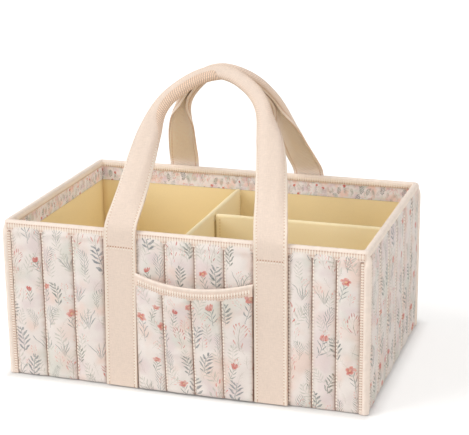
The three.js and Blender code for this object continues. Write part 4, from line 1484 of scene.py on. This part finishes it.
def addPocketBinding():
    outer, inner = pocket["seam"] + gap + pocket["bindingThickness"], -gap / 2
    section = [(outer, down) for down in (pocket["bindingOuter"], 0.010, 0.0075, 0.005, 0.003)]
    big, small = pocket["foldRadius"], pocket["innerRadius"]
    for r, middle, angles in ((big, outer - big, (0, 90, 5)), (small, inner + small, (90, 180, 4))):
        for angle in np.radians(np.linspace(*angles)):
            section.append((middle + r * math.cos(angle), r - r * math.sin(angle)))
    section = np.array(section + [(inner, 0.003), (inner, pocket["bindingInner"])])
    across = lengthsAlong(section)
    strip, x, t, _, r = cutCloth("pocketBinding", steps(pocket["low"], pocket["high"], 0.0026), across)
    out, down = section[r].T
    gather = wobble(x, t * 0.25, 0, rim["gather"], 21)
    z = pocketMouth(x) - down
    mark(strip, "barred", np.where(out > outer * 0.9, ease((down - 0.0020) / 0.0008), 0))
    mark(strip, "gathers", gather)
    setPoints(strip, x, pocketFace(x, z) - out - np.where(down > 0.002, gather * pocket["gatherDepth"], 0), z)
    faceOut(strip, (0, -1, 0))
    thicken(strip, pocket["bindingThickness"] * 0.8)
    finishPiece(strip, "caddy", bindingCloth, ["pocket_binding"])
    count = round((pocket["high"] - pocket["low"] - 0.004) / rim["pitch"])
    x = pocket["low"] + 0.002 + (np.arange(count) + 0.5) * rim["pitch"]
    dots = []
    for below in pocket["stitchRows"]:
        z = pocketMouth(x) - below
        ways = sideBySide(1, 0, (pocketMouth(x + 0.001) - pocketMouth(x - 0.001)) / 0.002)
        dots.append((sideBySide(x, pocketFace(x, z) - outer - 0.00012, z), ways, (0, -1, 0)))
    x = x + rim["pitch"] / 2
    z = pocketMouth(x) - pocket["bars"]
    bars = [(sideBySide(x, pocketFace(x, z) - outer - 0.0001, z), (0, 0, 1), (0, -1, 0))]
    sewRows("pocketStitches", dots, coralThread, "caddy", "dot")
    sewRows("pocketBars", bars, creamThread, "caddy", "bar")


lining = {
    "inset": 0.0071,
    "edgeShade": 0.7,        # how strong the painted shade is along the cloth's edges, in the corners and at the foot
    "Lining": {"low": 0.0069, "high": 0.1427, "thickness": 0.0010, "bow": 0.0008, "seed": 30},
    "Facing": {"low": 0.143, "high": 0.1645, "thickness": 0.0008, "bow": 0.0002, "seed": 40},
}


def addWallSheet(wall, kind, number, finish):
    # a sheet stretched on the inside of a wall, bowed a little between its edges
    low, high, thickness, bow, seed = lining[kind].values()
    reach = walls[wall]["half"] - lining["inset"] - (0 if wall in strapPlaces else thickness + gap)
    columns = hemmed(steps(-reach, reach, 0.008), 0.001)
    rows = hemmed(steps(low, high, 0.008 if high - low > 0.05 else 0.004), 0.0008)
    piece, s, t, _, _ = cutCloth(wall + kind, columns, rows)
    inside = share((reach - np.abs(s)) / 0.02) * share((t - low) / 0.01) * share((high - t) / 0.01)
    loose = 0.5 + 0.5 * wobble(s, t, 0, 0.045, seed + number)
    setPoints(piece, s, bow * inside * loose - (walls[wall]["depth"] - lining["inset"] - thickness), t)
    faceOut(piece, (0, 1, 0))
    toEdge = np.minimum(reach - np.abs(s), t - low + 0.0006)
    # painted shade along the sides and the foot, where the sheet meets the other walls and the floor
    mark(piece, "seam", lining["edgeShade"] * np.exp(-toEdge / 0.0016))
    thicken(piece, thickness)
    turnToWall(piece, wall)
    finishPiece(piece, "caddy", finish, [f"{kind.lower()}_{wall}"])
    2 * reach


def addLining():
    for number, wall in enumerate(walls):
        addWallSheet(wall, "Lining", number, liningCloth)
        addWallSheet(wall, "Facing", number, facingCotton)
    addFloorSheet("floorLining", liningCloth, "lining_floor", 1, 50)
    addFloorSheet("basePanel", baseCloth, "base_panel", -1, 51)
    print("lining made")


def addFloorSheet(name, finish, node, side, seed):
    # a sheet on the top of the floor board or under it; side is the way it faces
    low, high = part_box(node)
    piece, s, t, _, _ = cutCloth(name, steps(low.x, high.x, 0.008), steps(low.y, high.y, 0.008))
    inside = share((high.x - np.abs(s)) / 0.02) * share((high.y - np.abs(t)) / 0.02)
    loose = inside * (0.5 + 0.5 * wobble(s, t, 0, 0.05, seed))
    setPoints(piece, s, t, high.z + 0.0004 * loose if side > 0 else low.z + 0.0002 * loose)
    faceOut(piece, (0, 0, side))
    thicken(piece, high.z - low.z)
    finishPiece(piece, "caddy", finish, [node])


divider = {
    "thickness": 0.0050,
    "cover": 0.0012,
    "crown": 0.0007,
    "foot": 0.0069,
    "stitchInset": 0.004,
    "stitchLow": 0.012,
    "stitchPitch": 0.0034,
}


def addDivider(body, seed):
    # a cover folded over the board's top edge; the long divider runs along y, the cross one along x
    name = "longDividerCover" if body == "long_divider" else "crossDividerCover"
    turned = body == "cross_divider"
    low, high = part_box(f"{body}_cover")
    start, end = (low.x, high.x) if turned else (low.y, high.y)
    middle = (low.y + high.y) / 2 if turned else (low.x + high.x) / 2
    half = divider["thickness"] / 2
    side, turn = high.z - half - divider["foot"], math.pi * half

    def spots(across, along, up):
        return (along, across, up) if turned else (across, along, up)

    over = list(side + turn * np.linspace(0, 1, 9))
    columns = joined(steps(0, side, 0.010), over, steps(over[-1], over[-1] + side, 0.010))
    piece, s, t, _, _ = cutCloth(name, columns, hemmed(steps(start, end, 0.006), 0.0008))
    angle = np.clip((s - side) / half, 0, math.pi)
    inside = share((t - start) / 0.012) * share((end - t) / 0.012)
    out = divider["crown"] * inside * (0.35 + 0.65 * wobble(s, t, 0, 0.05, seed))
    across = -half * np.cos(angle)
    across = across + np.sign(across) * out * np.abs(np.cos(angle))
    up = divider["foot"] + np.minimum(s, side) + half * np.sin(angle) - np.maximum(s - side - turn, 0)
    setPoints(piece, *spots(middle + across, t, up + np.sin(angle) * out * 0.6))
    faceOut(piece, (0, 0, 1))
    thicken(piece, divider["cover"])
    finishPiece(piece, body, dividerCloth, [f"{body}_cover"])
    rows = []
    for at in (start + divider["stitchInset"], end - divider["stitchInset"]):
        for face in (-1, 1):
            across, heights = middle + face * (half + 0.0001), (divider["stitchLow"], high.z - 0.004)
            foot, top = (spots(across, at, z) for z in heights)
            rows.append(straightRow(foot, top, divider["stitchPitch"], spots(face, 0, 0)))
    sewRows(name + "Stitches", rows, dividerThread, body, "plain")


tapes = {
    "long_divider": ("long_divider_hook_front", "long_divider_hook_back", "loop_strip_divider"),
    "cross_divider": ("cross_divider_hook_left", "cross_divider_hook_right"),
    "caddy": ("loop_strip_front", "loop_strip_back", "loop_strip_right"),
}


def addTape(node, body):
    # hook and loop strip: a slim bar with rounded edges, with its own size at each place
    low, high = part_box(node)
    clearSelection()
    bpy.ops.mesh.primitive_cube_add(size=1, location=(low + high) / 2, scale=high - low)
    piece = bpy.context.object
    bpy.ops.object.transform_apply(location=True, rotation=True, scale=True)
    editAll(piece)
    bpy.ops.mesh.bevel(offset=0.00028, segments=2, affect="EDGES")
    bpy.ops.object.mode_set(mode="OBJECT")
    first, *rest = node.split("_")
    piece.name = piece.data.name = first + "".join(word.title() for word in rest)
    finishPiece(piece, body, loopTape if "loop" in node else hookTape, [node], 40)


def finishBoards():
    for name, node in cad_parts.items():
        if name.startswith("stiffener") or name.endswith("_board"):
            for slot in node.material_slots:
                slot.material = greyBoard


studio = {
    "size": 12,
    "drop": -0.0004,
    "paper": (0.74, 0.74, 0.74, 1),
    "glow": 0.25,
    # the glow added away from the foot, which leaves a painted contact shadow round it, and how much that
    # painted shadow is deepened along the long walls
    "glowPastShadow": 0.23,
    "frontShadow": -0.18,
}


def addFloor():
    # pale paper, with a glow that only the camera sees; the glow is weaker by the caddy's foot and weaker
    # still along the long walls, a painted contact shadow
    clearSelection()
    bpy.ops.mesh.primitive_plane_add(size=studio["size"], location=(0, 0, studio["drop"]))
    floor = bpy.context.object
    bpy.ops.object.transform_apply(location=True, rotation=True, scale=True)
    floor.name = "studioFloor"
    finish, w = newFinish("studioFloor", 1.0)
    surface = finish.node_tree.nodes["Principled BSDF"]
    surface.inputs["Base Color"].default_value = studio["paper"]
    surface.inputs["Specular IOR Level"].default_value = 0
    x, y, _ = w.split(w.vector("ABSOLUTE", w.place()))
    x, y = x - halfLength, y - halfWidth
    clear = w.math("MAXIMUM", w.step(x, -0.004, 0.004), w.step(y, 0.0, 0.024))
    glow = w.step(w.math("MAXIMUM", x, y), -0.002, 0.016) * studio["glowPastShadow"] + studio["glow"]
    glow = (1.0 - clear) * studio["frontShadow"] + glow
    rays = w.every("ShaderNodeLightPath")
    w.feed(surface.inputs["Emission Color"], w.combine(glow, glow, glow))
    seen = w.math("MAXIMUM", rays["Is Camera Ray"], rays["Is Glossy Ray"])
    w.feed(surface.inputs["Emission Strength"], seen)
    floor.data.materials.append(finish)


def addWorld():
    world = bpy.data.worlds.new("paleRoom")
    bpy.context.scene.world = world
    world.use_nodes = True
    w = Wiring(world.node_tree)
    sky = world.node_tree.nodes["Background"]
    sky.inputs["Color"].default_value = light["skyColour"]
    rays = w.every("ShaderNodeLightPath")
    seen = w.math("MAXIMUM", rays["Is Camera Ray"], rays["Is Glossy Ray"])
    seen = w.math("MAXIMUM", seen, rays["Is Transmission Ray"])
    w.feed(sky.inputs["Strength"], seen * (1.0 - light["skyStrength"]) + light["skyStrength"])


bpy.context.scene.view_settings.view_transform = "Standard"
addCamera()
addLights()
addFloor()
addWorld()
print("camera, light and floor made")
addPanels()
addRim()
addCorners()
addStrap("front")
addStrap("back")
print("straps made")
addPocket()
addLining()
addDivider("long_divider", 61)
addDivider("cross_divider", 60)
for body, nodes in tapes.items():
    for node in nodes:
        addTape(node, body)
finishBoards()
print("dividers made")
